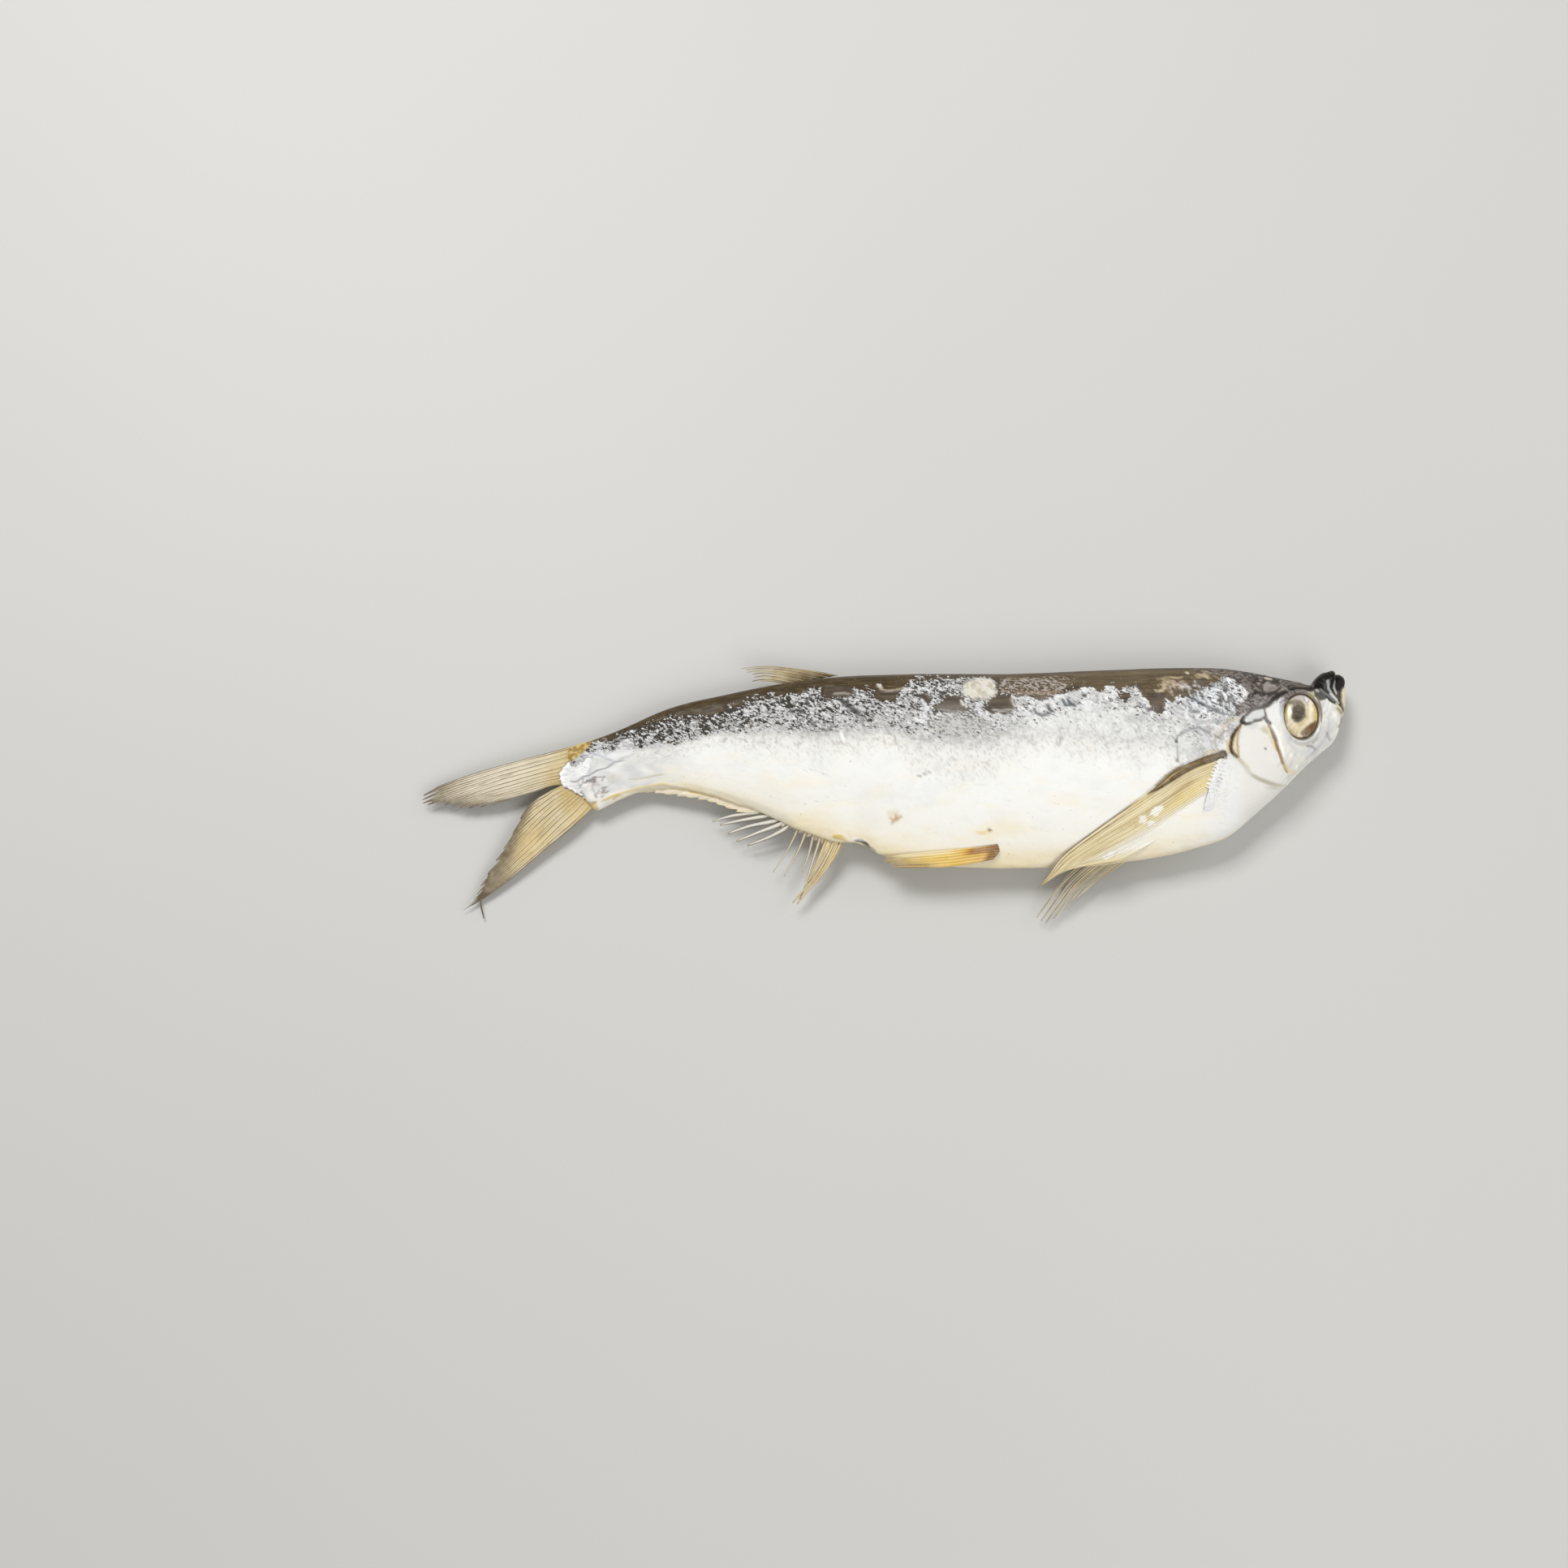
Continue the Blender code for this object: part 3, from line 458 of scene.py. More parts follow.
# curve, colour, half width, strength, relief
LINES = (
    (((77.9, 18.9), (77.4, 16.0), (77.6, 12.4), (78.4, 9.4)), (176, 171, 175), 0.8, 0.7, 0.2),
    (((88.9, 20.2), (90.0, 17.8), (90.3, 14.2), (90.0, 11.2)), (116, 100, 68), 0.4, 0.75, 0.0),
    (((78.6, 8.0), (79.8, 5.6), (82.6, 4.2), (86.0, 5.0), (88.6, 7.4)), (188, 186, 188), 0.7, 0.6, 0.25),
    (((72.4, 9.2), (73.2, 7.2), (74.0, 4.8), (74.8, 1.8)), (214, 196, 150), 1.0, 0.7, 0.0),
    # painted highlight beside the cheek seam
    (((74.0, 9.8), (75.4, 6.4), (76.2, 3.2), (76.9, -0.6)), (251, 249, 244), 0.7, 0.9, 0.15),
    (CHEEK_SEAM, (136, 100, 54), 0.34, 0.92, -0.4),
    (((73.9, 7.4), (74.4, 6.0), (74.9, 4.6)), (104, 76, 40), 0.5, 0.8, -0.2),
    (((76.9, -3.6), (78.0, -5.0), (80.4, -6.0)), (224, 208, 164), 0.9, 0.6, 0.0),
    (((71.9, 12.8), (72.4, 11.2), (73.4, 10.4)), (44, 38, 34), 0.55, 0.95, -0.3),
    (((61.9, 8.2), (61.4, 5.2), (61.3, 2.6), (61.9, 0.0)), (226, 208, 162), 0.55, 0.8, 0.0),
    (((59.4, 4.8), (59.3, 2.6), (59.8, 1.0)), (220, 196, 138), 0.7, 0.7, 0.0),
    (OPERCLE_RIM[:5], (168, 134, 78), 0.3, 0.75, -0.15),
    (GILL_SLIT[:6], (72, 50, 24), 0.38, 0.9, -0.5),
    (((62.4, 8.8), (61.4, 7.2), (60.9, 5.8)), (60, 44, 28), 0.55, 0.85, -0.3),
    (((60.1, 2.0), (60.8, 0.4), (62.2, -1.0)), (84, 64, 40), 0.35, 0.85, -0.3),
    (((62.2, -1.2), (63.6, -2.6), (65.4, -4.4)), (214, 196, 150), 0.6, 0.6, -0.1),
    (((65.6, 10.0), (62.0, 12.2), (58.6, 9.8), (56.2, 7.4)), (210, 196, 160), 0.5, 0.55, 0.1),
    (((58.6, 8.2), (56.6, 6.0), (55.0, 6.6)), (120, 108, 88), 0.26, 0.7, -0.1),
    (PLATE_SEAM, (46, 41, 37), 0.36, 0.92, -0.3),
    (((65.0, 12.8), (64.2, 11.4), (64.9, 10.4)), (40, 36, 33), 0.7, 0.9, -0.25),
    (SKULL_LINE, (42, 37, 33), 0.6, 0.94, -0.4),
    (((68.4, 20.8), (71.0, 21.2), (72.6, 20.6), (75.2, 20.9), (77.4, 22.6)), (56, 51, 48), 0.4, 0.8,
     -0.15),
    (((71.6, 21.6), (71.4, 23.8), (73.0, 25.5), (75.4, 25.1), (76.6, 23.4)), (66, 60, 54), 0.35, 0.8,
     -0.12),
    (((68.6, 19.0), (71.2, 19.4), (73.6, 18.6)), (146, 141, 138), 0.5, 0.65, 0.12),
    (((70.0, 17.6), (72.6, 17.8), (74.4, 19.4)), (128, 124, 120), 0.35, 0.6, 0.1),
    (((76.6, 24.6), (78.6, 22.8), (82.0, 23.8), (86.0, 23.6)), (60, 54, 49), 0.35, 0.75, -0.15),
    (((77.6, 23.8), (79.2, 22.4), (80.8, 21.6)), (150, 146, 143), 0.3, 0.7, 0.1),
    (((81.0, 24.4), (83.6, 23.6), (87.4, 23.4)), (118, 110, 102), 0.35, 0.7, 0.0),
    (((71.0, 27.4), (76.0, 26.4), (81.0, 25.2)), (52, 44, 34), 0.5, 0.85, 0.0),
    # painted highlight: a glint on the skull's top edge
    (((72.6, 26.0), (73.6, 25.9), (74.8, 25.6)), (214, 204, 184), 0.3, 0.85, 0.0),
    (((93.0, 24.6), (93.3, 22.8), (94.2, 21.0), (95.8, 18.7)), (184, 185, 183), 0.42, 0.9, 0.12),
    (((95.0, 24.2), (95.2, 22.6), (95.9, 20.8)), (190, 190, 188), 0.34, 0.9, 0.1),
    (((90.7, 22.3), (92.2, 20.9), (93.6, 19.6), (94.9, 18.1)), (132, 134, 132), 0.34, 0.85, 0.08),
    (((93.7, 20.7), (94.9, 19.4), (96.4, 17.4)), (212, 212, 210), 0.3, 0.9, 0.1),
    (((92.0, 24.2), (92.2, 22.8), (93.0, 21.6)), (92, 96, 94), 0.35, 0.7, 0.0),
    # painted highlight on the snout
    (((89.2, 22.0), (89.9, 21.5)), (196, 188, 184), 0.5, 0.85, 0.08),
    (((92.6, 18.4), (92.2, 16.6), (91.4, 14.6)), (234, 234, 236), 0.45, 0.8, 0.1),
    (((94.0, 17.2), (93.4, 15.4), (92.0, 13.2)), (232, 232, 232), 0.4, 0.7, 0.1),
    (((95.5, 17.4), (96.4, 16.2), (97.3, 15.1)), (230, 219, 188), 0.35, 0.85, 0.08),
    (MOUTH, (70, 60, 46), 0.3, 0.85, -0.5),
    (((97.4, 12.9), (96.8, 11.2), (96.1, 9.4)), (126, 110, 88), 0.3, 0.7, -0.1),
    (((94.2, 14.4), (95.2, 12.8), (95.8, 10.6)), (244, 241, 232), 0.55, 0.8, 0.1),
    # painted highlight along the edge of the jaw
    (((95.2, 8.6), (94.6, 6.0), (93.2, 3.6), (90.4, 1.6)), (250, 249, 246), 0.6, 0.85, 0.12),
    (((92.8, 12.3), (92.4, 7.6), (90.2, 4.0), (87.4, 1.2), (84.4, -1.3)), (186, 186, 188), 0.4, 0.6,
     -0.15),
    (((85.0, 3.0), (86.6, 2.8), (87.6, 1.8)), (152, 140, 146), 0.3, 0.75, 0.0),
    (((86.8, 4.0), (88.6, 5.6)), (176, 174, 176), 0.3, 0.7, 0.0),
    (((91.8, 7.6), (92.1, 6.2), (92.6, 5.2)), (150, 149, 150), 0.3, 0.8, 0.0),
    (((77.8, 7.0), (78.8, 4.6), (80.4, 2.8)), (204, 202, 206), 0.6, 0.7, 0.1),
    (((66.8, -7.0), (70.2, -8.7), (74.0, -9.9), (77.2, -10.3)), (214, 206, 180), 0.6, 0.65, -0.12),
    (((70.6, -10.9), (73.4, -11.2), (76.0, -11.2)), (214, 210, 194), 0.5, 0.6, 0.0),
    (((71.1, 2.1), (71.5, 1.8)), (140, 140, 150), 0.35, 0.85, 0.0),
    # back
    (((46.9, 28.0), (47.2, 27.6)), (238, 232, 216), 0.4, 0.9, 0.1),
    (((50.6, 27.4), (52.6, 26.6), (53.8, 25.8)), (210, 196, 168), 0.28, 0.85, 0.1),
    (((5.2, 21.4), (7.0, 22.4), (9.2, 22.9), (12.0, 23.2)), (58, 48, 38), 0.5, 0.8, -0.2),
    (((-9.6, 21.2), (-4.0, 21.0), (1.0, 21.2), (5.4, 21.8)), (166, 148, 130), 0.4, 0.7, 0.1),
    (((-16.2, 22.2), (-15.2, 24.0), (-15.8, 25.8)), (70, 66, 62), 0.4, 0.8, -0.15),
    (((-34.6, 15.4), (-30.4, 14.6), (-25.8, 14.9)), (140, 134, 128), 0.5, 0.8, 0.1),
    # painted highlight along the rim of a bare spot
    (((-17.4, 15.5), (-14.6, 15.0), (-11.4, 15.4)), (184, 179, 172), 0.32, 0.9, 0.12),
    (((-18.6, 14.6), (-14.6, 14.0), (-11.0, 14.5)), (62, 56, 52), 0.42, 0.85, -0.15),
    (((-10.6, 20.6), (-10.9, 18.4), (-9.9, 16.2)), (214, 208, 198), 0.3, 0.8, 0.1),
    # painted highlight along the curled rim of a bare spot
    (((-54.4, 22.4), (-51.6, 21.9), (-48.9, 22.2), (-46.6, 23.0)), (186, 174, 152), 0.3, 0.85, 0.14),
    (((-54.6, 21.6), (-51.4, 21.0), (-47.2, 21.8)), (62, 50, 38), 0.4, 0.85, -0.15),
    # painted highlight: a glint
    (((-55.0, 23.8), (-54.0, 23.0)), (240, 234, 224), 0.55, 0.9, 0.15),
    (((-46.4, 22.6), (-45.6, 21.8)), (226, 220, 208), 0.6, 0.85, 0.12),
    (((-69.4, 20.8), (-66.4, 20.9), (-64.2, 20.7)), (176, 168, 156), 0.35, 0.8, 0.1),
    (((-72.4, 19.8), (-69.6, 19.6), (-66.8, 18.6)), (64, 58, 52), 0.45, 0.8, -0.15),
    (((-67.4, 18.6), (-64.4, 16.2), (-61.2, 13.6)), (58, 57, 60), 1.0, 0.9, -0.3),
    (((-62.0, 14.4), (-60.4, 12.2), (-60.2, 10.2)), (120, 118, 120), 0.4, 0.8, -0.1),
    (((-79.0, 18.8), (-78.2, 16.8)), (56, 54, 52), 0.55, 0.85, -0.2),
    (((-84.0, 14.4), (-82.0, 15.0), (-79.6, 14.4)), (62, 60, 60), 0.5, 0.85, -0.2),
    (((-77.6, 11.4), (-76.6, 10.2), (-75.6, 10.0)), (84, 82, 82), 0.5, 0.8, -0.15),
    (((-73.2, 8.8), (-72.0, 8.0), (-70.2, 9.2)), (96, 90, 82), 0.45, 0.8, -0.1),
    (((-67.4, 8.4), (-67.0, 6.4), (-66.6, 4.6)), (252, 252, 250), 0.45, 0.85, 0.1),
    (((47.5, 19.5), (51.6, 17.1), (55.3, 15.2), (58.5, 13.8)), (82, 88, 94), 0.5, 0.85, -0.15),
    (((5.6, 18.8), (6.6, 16.9), (8.0, 16.8)), (84, 92, 96), 0.5, 0.85, -0.12),
    (((7.2, 18.9), (8.4, 17.4), (9.8, 16.6)), (70, 76, 80), 0.5, 0.85, -0.12),
    (((12.5, 20.3), (13.2, 20.0)), (44, 38, 34), 0.5, 0.95, 0.0),
    (((-3.8, 15.8), (-3.2, 14.2), (-1.2, 13.4), (1.6, 14.0)), (104, 108, 110), 0.45, 0.85, -0.12),
    (((0.6, 16.8), (1.4, 15.2), (2.4, 14.6)), (78, 80, 82), 0.6, 0.85, -0.12),
    (((-3.0, 20.2), (-1.4, 19.2), (0.8, 19.0)), (92, 88, 84), 0.45, 0.8, -0.12),
    (((33.2, 15.4), (34.6, 15.3), (36.2, 15.6)), (70, 66, 62), 0.45, 0.9, -0.1),
    (((31.0, 17.4), (32.6, 16.0), (33.8, 14.0)), (148, 150, 154), 0.35, 0.75, -0.1),
    (((-40.0, 13.0), (-39.4, 16.0), (-40.6, 18.6)), (244, 245, 248), 1.0, 0.8, 0.12),
    (((-43.0, 12.4), (-40.6, 11.2), (-39.0, 12.6)), (242, 243, 246), 1.0, 0.7, 0.1),
    # painted highlights: glints round the bare spots, in this row and the next two
    (((-22.4, 17.4), (-22.0, 15.2), (-21.2, 13.2)), (236, 232, 238), 0.8, 0.8, 0.15),
    (((-16.8, 13.6), (-15.8, 13.8), (-14.8, 13.6)), (240, 240, 240), 0.6, 0.9, 0.12),
    (((-27.8, 18.6), (-27.0, 17.4), (-26.0, 16.8)), (238, 236, 228), 0.5, 0.9, 0.15),
    # flank behind the gill cover
    (((42.4, 4.8), (43.3, 6.5), (45.6, 7.9), (48.4, 9.1), (51.6, 8.6), (53.9, 7.2)), (140, 141, 142),
     0.28, 0.85, -0.12),
    (((44.6, 6.6), (46.1, 7.9), (48.8, 8.2), (50.9, 7.4), (52.1, 5.3)), (176, 176, 178), 0.2, 0.75,
     -0.08),
    (((42.4, 3.9), (42.9, 0.6), (42.6, -2.3)), (150, 150, 150), 0.18, 0.7, -0.06),
    (((43.8, 0.1), (44.5, 1.5), (46.1, 0.6), (46.1, -1.3)), (190, 190, 190), 0.2, 0.6, 0.08),
    (((42.2, 4.8), (42.5, 4.4)), (70, 62, 54), 0.45, 0.95, 0.0),
    (((42.5, -1.6), (42.7, -2.2)), (96, 90, 84), 0.35, 0.9, 0.0),
    (((50.7, -0.4), (52.5, 1.0), (55.7, 1.2)), (190, 166, 118), 0.25, 0.8, 0.1),
    (((55.4, 5.6), (55.2, 3.2), (55.9, 1.8)), (176, 166, 146), 0.2, 0.7, 0.0),
    (((50.6, 8.0), (52.6, 4.6), (53.0, 2.0)), (222, 222, 226), 0.9, 0.7, 0.1),
    (((-60.3, 10.1), (-59.4, 7.8), (-56.7, 6.8), (-54.8, 9.2)), (176, 168, 168), 0.22, 0.7, -0.08),
    (((-53.0, 10.1), (-52.2, 8.4), (-50.8, 6.6)), (150, 144, 148), 0.24, 0.75, -0.05),
    (((-42.4, -7.3), (-40.6, -6.6), (-38.3, -5.7)), (160, 160, 152), 0.16, 0.8, 0.0),
    (((-32.3, -5.0), (-33.2, -7.3)), (200, 202, 202), 0.14, 0.7, 0.0),
    (((-28.6, -6.0), (-27.6, -7.6), (-27.8, -9.0)), (206, 208, 208), 0.14, 0.7, 0.0),
    # root of the tail
    (((-155.4, -8.9), (-153.6, -9.0), (-151.6, -7.4), (-149.4, -6.9), (-146.8, -5.2), (-143.8, -4.4),
      (-141.4, -2.6), (-138.8, -2.0)), (136, 136, 140), 0.16, 0.7, -0.1),
    (((-152.6, -11.0), (-151.4, -9.4), (-149.6, -8.8), (-147.4, -7.6), (-145.2, -7.4)), (140, 138, 140),
     0.14, 0.65, -0.08),
    (((-153.7, -1.6), (-148.4, 0.0), (-144.7, -1.0), (-141.0, -2.6)), (186, 189, 196), 0.3, 0.75, -0.1),
    (((-136.3, -8.2), (-132.9, -8.0), (-128.9, -7.2), (-125.6, -6.6)), (196, 188, 164), 0.22, 0.7,
     -0.05),
    # gold along the keel before the tail
    (((-145.0, -15.4), (-140.6, -13.4), (-135.4, -11.9), (-130.0, -10.7), (-125.0, -10.0),
      (-119.8, -10.9), (-115.0, -12.0), (-110.0, -13.2), (-105.0, -14.6), (-100.0, -16.8)),
     (206, 172, 84), 0.4, 0.85, 0.15),
    (((-124.8, -9.8), (-119.8, -10.5), (-114.6, -11.6), (-108.0, -13.2)), (230, 196, 110), 0.5, 0.75,
     0.12),
    (((-141.6, -14.8), (-139.4, -13.8), (-138.2, -14.0)), (156, 120, 62), 0.4, 0.8, 0.0),
    # vent and belly
    (((-62.6, -28.7), (-60.8, -29.0), (-58.4, -31.2)), (48, 44, 46), 0.7, 0.92, -0.3),
    (((-64.6, -28.8), (-62.8, -28.2), (-59.6, -28.8)), (250, 250, 250), 0.5, 0.8, 0.15),
    (((-57.8, -31.2), (-56.4, -32.4)), (110, 106, 106), 0.3, 0.7, -0.1),
    (((-69.8, -27.2), (-67.6, -27.4), (-66.0, -28.4)), (216, 184, 100), 0.8, 0.85, 0.2),
    (((-23.5, -25.8), (-21.4, -26.0), (-19.3, -25.6)), (232, 208, 152), 0.4, 0.8, 0.08),
    (((-19.6, -25.0), (-19.0, -25.2)), (112, 88, 54), 0.45, 0.9, 0.08),
    (((-51.1, -22.9), (-49.6, -21.6), (-47.9, -20.6)), (184, 148, 110), 0.35, 0.8, 0.0),
    (((-50.0, -21.8), (-49.4, -19.6)), (190, 156, 120), 0.25, 0.75, 0.0),
    (((-51.8, -21.0), (-50.6, -21.6)), (206, 178, 144), 0.25, 0.7, 0.0),
)
# centre, radius, strength of round scales that lie on the skin
ROUND_SCALES = (
    ((38.6, 7.4), 2.3, 0.7),
    ((37.8, 7.0), 4.6, 0.6),
    ((-144.6, -8.4), 2.7, 0.3),
    ((27.0, 8.0), 3.6, 0.4),
    ((19.0, 9.0), 3.2, 0.4),
    ((48.5, 3.6), 4.6, 0.45),
    ((-29.0, 6.6), 2.6, 0.3),
    ((10.5, 8.6), 3.4, 0.4),
    ((-8.5, 8.6), 3.0, 0.35),
    ((44.8, -0.6), 2.2, 0.5),
    ((1.5, 7.6), 3.0, 0.35),
    ((32.0, 6.6), 2.4, 0.35),
    ((54.0, 5.0), 2.6, 0.35),
    ((-18.0, 6.2), 2.6, 0.3),
)
# where the silver layer ends against the brown back, and where it fades into the plain flank
SILVER_EDGE = (
    (-160, -5), (-157.8, -3.7), (-153.7, 0.4), (-148.4, 3.6), (-143.6, 5.4), (-138.0, 7.4), (-134.0, 9.0),
    (-130.0, 10.8), (-126.0, 12.4), (-122.0, 13.4), (-118, 13.8), (-114, 13.9), (-110.6, 12.8),
    (-107, 14.4), (-104.6, 16.0), (-101.0, 16.6), (-98, 18.8), (-94, 20.3), (-88, 20.4), (-84, 20.8),
    (-79, 20.7), (-77, 22.8), (-74, 23.4), (-73, 20.2), (-70, 19.4), (-66, 19.0), (-64.4, 20.4),
    (-63, 22.8), (-58.5, 22.4), (-56.6, 21.6), (-55.4, 19.2), (-50, 18.6), (-48.4, 20.6), (-46.4, 23.0),
    (-44.0, 25.8), (-36, 26.3), (-20, 26.4), (-16.4, 25.6), (-15.4, 21.4), (-9, 20.2), (-4, 20.0),
    (-2.7, 19.0), (0.1, 18.5), (2.9, 19.9), (6.1, 20.6), (8.4, 22.0), (12.5, 22.8), (15.7, 23.2),
    (17.1, 21.3), (19.0, 21.6), (19.8, 23.2), (23.1, 23.6), (24.6, 22.0), (25.8, 23.4), (27.8, 23.8),
    (30.6, 23.2), (31.4, 21.2), (32.0, 19.8), (34.1, 17.5), (35.2, 15.4), (36.8, 13.9), (38.6, 14.4),
    (39.6, 18.8), (41.5, 17.8), (43.3, 19.9), (47.9, 19.4), (50.2, 21.3), (52.5, 22.3), (57.1, 24.2),
    (60.8, 26.5), (70, 27),
)
SILVER_FADE = (
    (-160, -9), (-149, -1.0), (-145, 0.6), (-139, 1.4), (-134, 2.4), (-126, 4.0), (-118, 6.0),
    (-108, 8.0), (-95, 9.2), (-70, 8.8), (-56, 10.0), (-40, 8.4), (-20, 7.6), (0, 9.4), (25, 9.4),
    (40, 5.6), (56, 1.0),
)
# share of the dark ground that the silver covers, at its upper edge and where it starts to fade
COVER_TOP = (
    (-160, 0.97), (-147, 0.96), (-144, 0.6), (-141, 0.14), (-132, 0.3), (-112, 0.36), (-98, 0.52),
    (-70, 0.58), (-56, 0.62), (-46, 0.66), (-24, 0.66), (-14, 0.82), (-4, 0.88), (18, 0.93), (24, 0.72),
    (30, 0.76), (34, 0.9), (48, 0.92), (60, 0.86),
)
COVER_LOW = (
    (-160, 1.0), (-144, 0.98), (-139, 0.7), (-128, 0.55), (-104, 0.7), (-70, 0.86), (-56, 0.9),
    (-36, 0.8), (-24, 0.82), (-14, 0.95), (18, 1.0), (60, 0.98),
)
# spots where the silver has come off the dark skin
BARE = (
    [(-34.4, 17.6), (-33.0, 19.8), (-29.5, 20.8), (-27.4, 19.4), (-25.0, 17.2), (-24.8, 15.4),
     (-29.5, 14.5), (-34.6, 15.0), (-38.0, 16.6)],
    [(-20.4, 18.0), (-18.0, 19.0), (-15.9, 20.7), (-11.3, 20.7), (-9.9, 16.3), (-11.0, 14.3),
     (-16.7, 13.9), (-19.6, 15.2)],
    [(33.6, 20.9), (40.1, 21.1), (39.2, 19.0), (38.4, 16.6), (39.2, 14.7), (37.3, 13.5), (35.3, 14.9),
     (35.4, 16.6), (33.6, 18.5)],
    [(24.0, 21.3), (28.0, 21.3), (28.2, 20.0), (26.8, 18.7), (24.5, 18.9)],
    [(-57.0, 19.4), (-55.6, 21.8), (-47.6, 22.4), (-47.8, 20.4), (-50.4, 18.8), (-54.0, 18.8)],
    [(-73.4, 20.4), (-72.6, 23.2), (-63.6, 22.8), (-64.6, 19.6), (-68.0, 19.6)],
    [(-41.4, 20.8), (-39.0, 21.0), (-37.0, 19.0), (-38.6, 17.8), (-40.6, 18.6)],
)
# a clump of caked salt on the back
SALT_CLUMP = [
    (-26.8, 24.4), (-22.6, 25.6), (-18.0, 25.6), (-16.2, 23.4), (-16.4, 20.1), (-19.3, 18.6),
    (-24.0, 18.8), (-27.4, 20.4),
]
# fields of fine wavy strokes: ranges of u and v, heading and its spread in degrees, lengths, count, colours
CRINKLES = (
    ((33.0, 46.0), (23.6, 27.0), -14, 9, (2.5, 6.5), 15, ((200, 182, 150), (176, 158, 128),
      (86, 70, 50))),
    ((31.5, 40.5), (21.2, 23.8), 10, 45, (1.0, 2.6), 17, ((214, 196, 164), (226, 212, 188),
      (84, 66, 46))),
    ((40.5, 46.5), (20.8, 24.4), -20, 60, (0.9, 2.2), 16, ((232, 214, 204), (214, 196, 184),
      (92, 76, 60))),
    ((47.0, 60.0), (26.0, 28.6), -16, 12, (1.2, 3.4), 12, ((190, 174, 146), (150, 136, 112))),
    ((67.0, 79.0), (16.0, 20.6), 38, 16, (1.4, 3.6), 24, ((166, 160, 158), (44, 38, 34),
      (138, 130, 128))),
    ((64.0, 87.0), (21.4, 26.4), -14, 16, (1.5, 4.4), 42, ((150, 142, 136), (44, 38, 34),
      (124, 115, 108))),
    ((52.0, 63.0), (4.6, 11.0), 52, 14, (1.6, 4.0), 22, ((196, 186, 184), (168, 160, 158),
      (222, 216, 214), (130, 122, 116))),
    ((46.0, 62.0), (14.0, 24.0), 128, 12, (1.4, 3.4), 60, ((244, 246, 248), (86, 84, 84),
      (232, 234, 238), (104, 100, 98))),
    ((-34.0, 46.0), (3.0, 13.0), 60, 60, (0.7, 2.0), 150, ((176, 174, 168), (196, 194, 188),
      (206, 204, 200))),
    ((-120.0, -34.0), (3.0, 13.0), 30, 60, (0.7, 2.2), 120, ((172, 166, 156), (190, 186, 178),
      (206, 202, 192))),
    ((-152.4, -144.4), (-14.4, -8.0), 60, 34, (0.6, 1.6), 34, ((112, 106, 104), (160, 154, 150),
      (226, 206, 196))),
    ((-149.0, -147.4), (-9.8, -8.4), 100, 60, (0.8, 1.4), 6, ((84, 76, 70), (120, 108, 98))),
    ((-150.0, -122.0), (-1.0, 6.0), 24, 22, (0.8, 2.4), 26, ((186, 188, 192), (204, 204, 206))),
)
# lumps of caked salt: u, v and width
CRUMBS = (
    (-40.8, 15.6, 1.5), (-39.8, 12.6, 1.2), (-22.0, 24.4, 1.6), (-19.6, 22.6, 2.4), (-24.6, 22.2, 1.8),
    (-18.4, 20.6, 1.5), (-22.0, 16.6, 1.0), (-21.4, 13.8, 1.1), (-31.6, 23.6, 1.1), (-35.0, 23.0, 1.0),
    (-98.4, 14.6, 1.8), (-96.2, 12.0, 1.3), (-100.8, 14.6, 1.1), (-103.6, 16.0, 1.0), (-61.8, 20.6, 1.2),
    (-62.8, 17.6, 1.0), (-52.2, 18.0, 1.1), (-47.0, 21.8, 0.9), (-2.6, 16.4, 1.3), (-119.8, 11.0, 1.4),
    (-136.8, 4.0, 1.5), (-146.4, 1.2, 1.2), (-144.2, 0.4, 0.9), (-69.0, 17.4, 1.0), (-75.2, 12.0, 1.2),
)
# the golden root of the tail fin, past the ragged end of the white skin
TAIL_GOLD = [
    (-149.6, 3.0), (-152.0, 0.4), (-155.0, -2.0), (-158.4, -4.5), (-159.3, -8.0), (-158.8, -10.0),
    (-156.0, -11.5), (-153.5, -13.0), (-151.0, -14.5), (-149.0, -16.0), (-147.0, -15.2), (-146.0, -20.0),
    (-158.0, -20.0), (-168.0, -12.0), (-166.0, 4.0), (-152.0, 8.0), (-148.6, 6.4),
]


# ---------------------------------------------------------------- the skin
TRUNK_STEP, HEAD_STEP = 0.54, 0.36
TOP_POINTS, UNDER_POINTS = 140, 44
TAIL_CAP_RINGS, NOSE_CAP_RINGS = 8, 26
SKULL_CORNER = (64.5, 11.6)
MARK_WOBBLE, CRINKLE_SEED, CRINKLE_RISE = 0.18, 29, 0.08
LIP_STEP, CHEEK_STEP = 1.15, 0.45
EYE_RIM_HEIGHT, SOCKET_DEPTH = 0.5, 1.5

# colours of the white flank and of what clouds it
FLANK = (244, 244, 240)
BELLY_CREAM = (248, 243, 228)
STAIN = (246, 235, 206)
COOL = (233, 234, 231)
CREAM = (243, 239, 226)
KEEL_YELLOW = (246, 228, 184)
STALK_GREY = (206, 207, 206)
SCALE_LINE = (196, 196, 190)
CREASE, CREASE_LINE = (214, 212, 206), (172, 168, 162)
# colours of the silver layer and of the dark skin that it lets through
FLAKE_TONES = ((0.0, 0.4, 0.6, 1.0), (188, 214, 232, 250))
FLAKE_EDGE, SHEEN, NET = (150, 149, 146), (238, 239, 235), (178, 168, 160)
DARK_FRONT, DARK_REAR = (92, 80, 62), (68, 54, 32)
DIM_FRONT, DIM_REAR = (80, 77, 74), (58, 52, 44)
BACK_BROWN, BARE_BROWN = (128, 112, 86), (80, 68, 56)
BACK_SHINE, BACK_WAVE, BACK_EDGE, BACK_LINE = (124, 106, 76), (122, 104, 74), (58, 47, 34), (90, 78, 60)
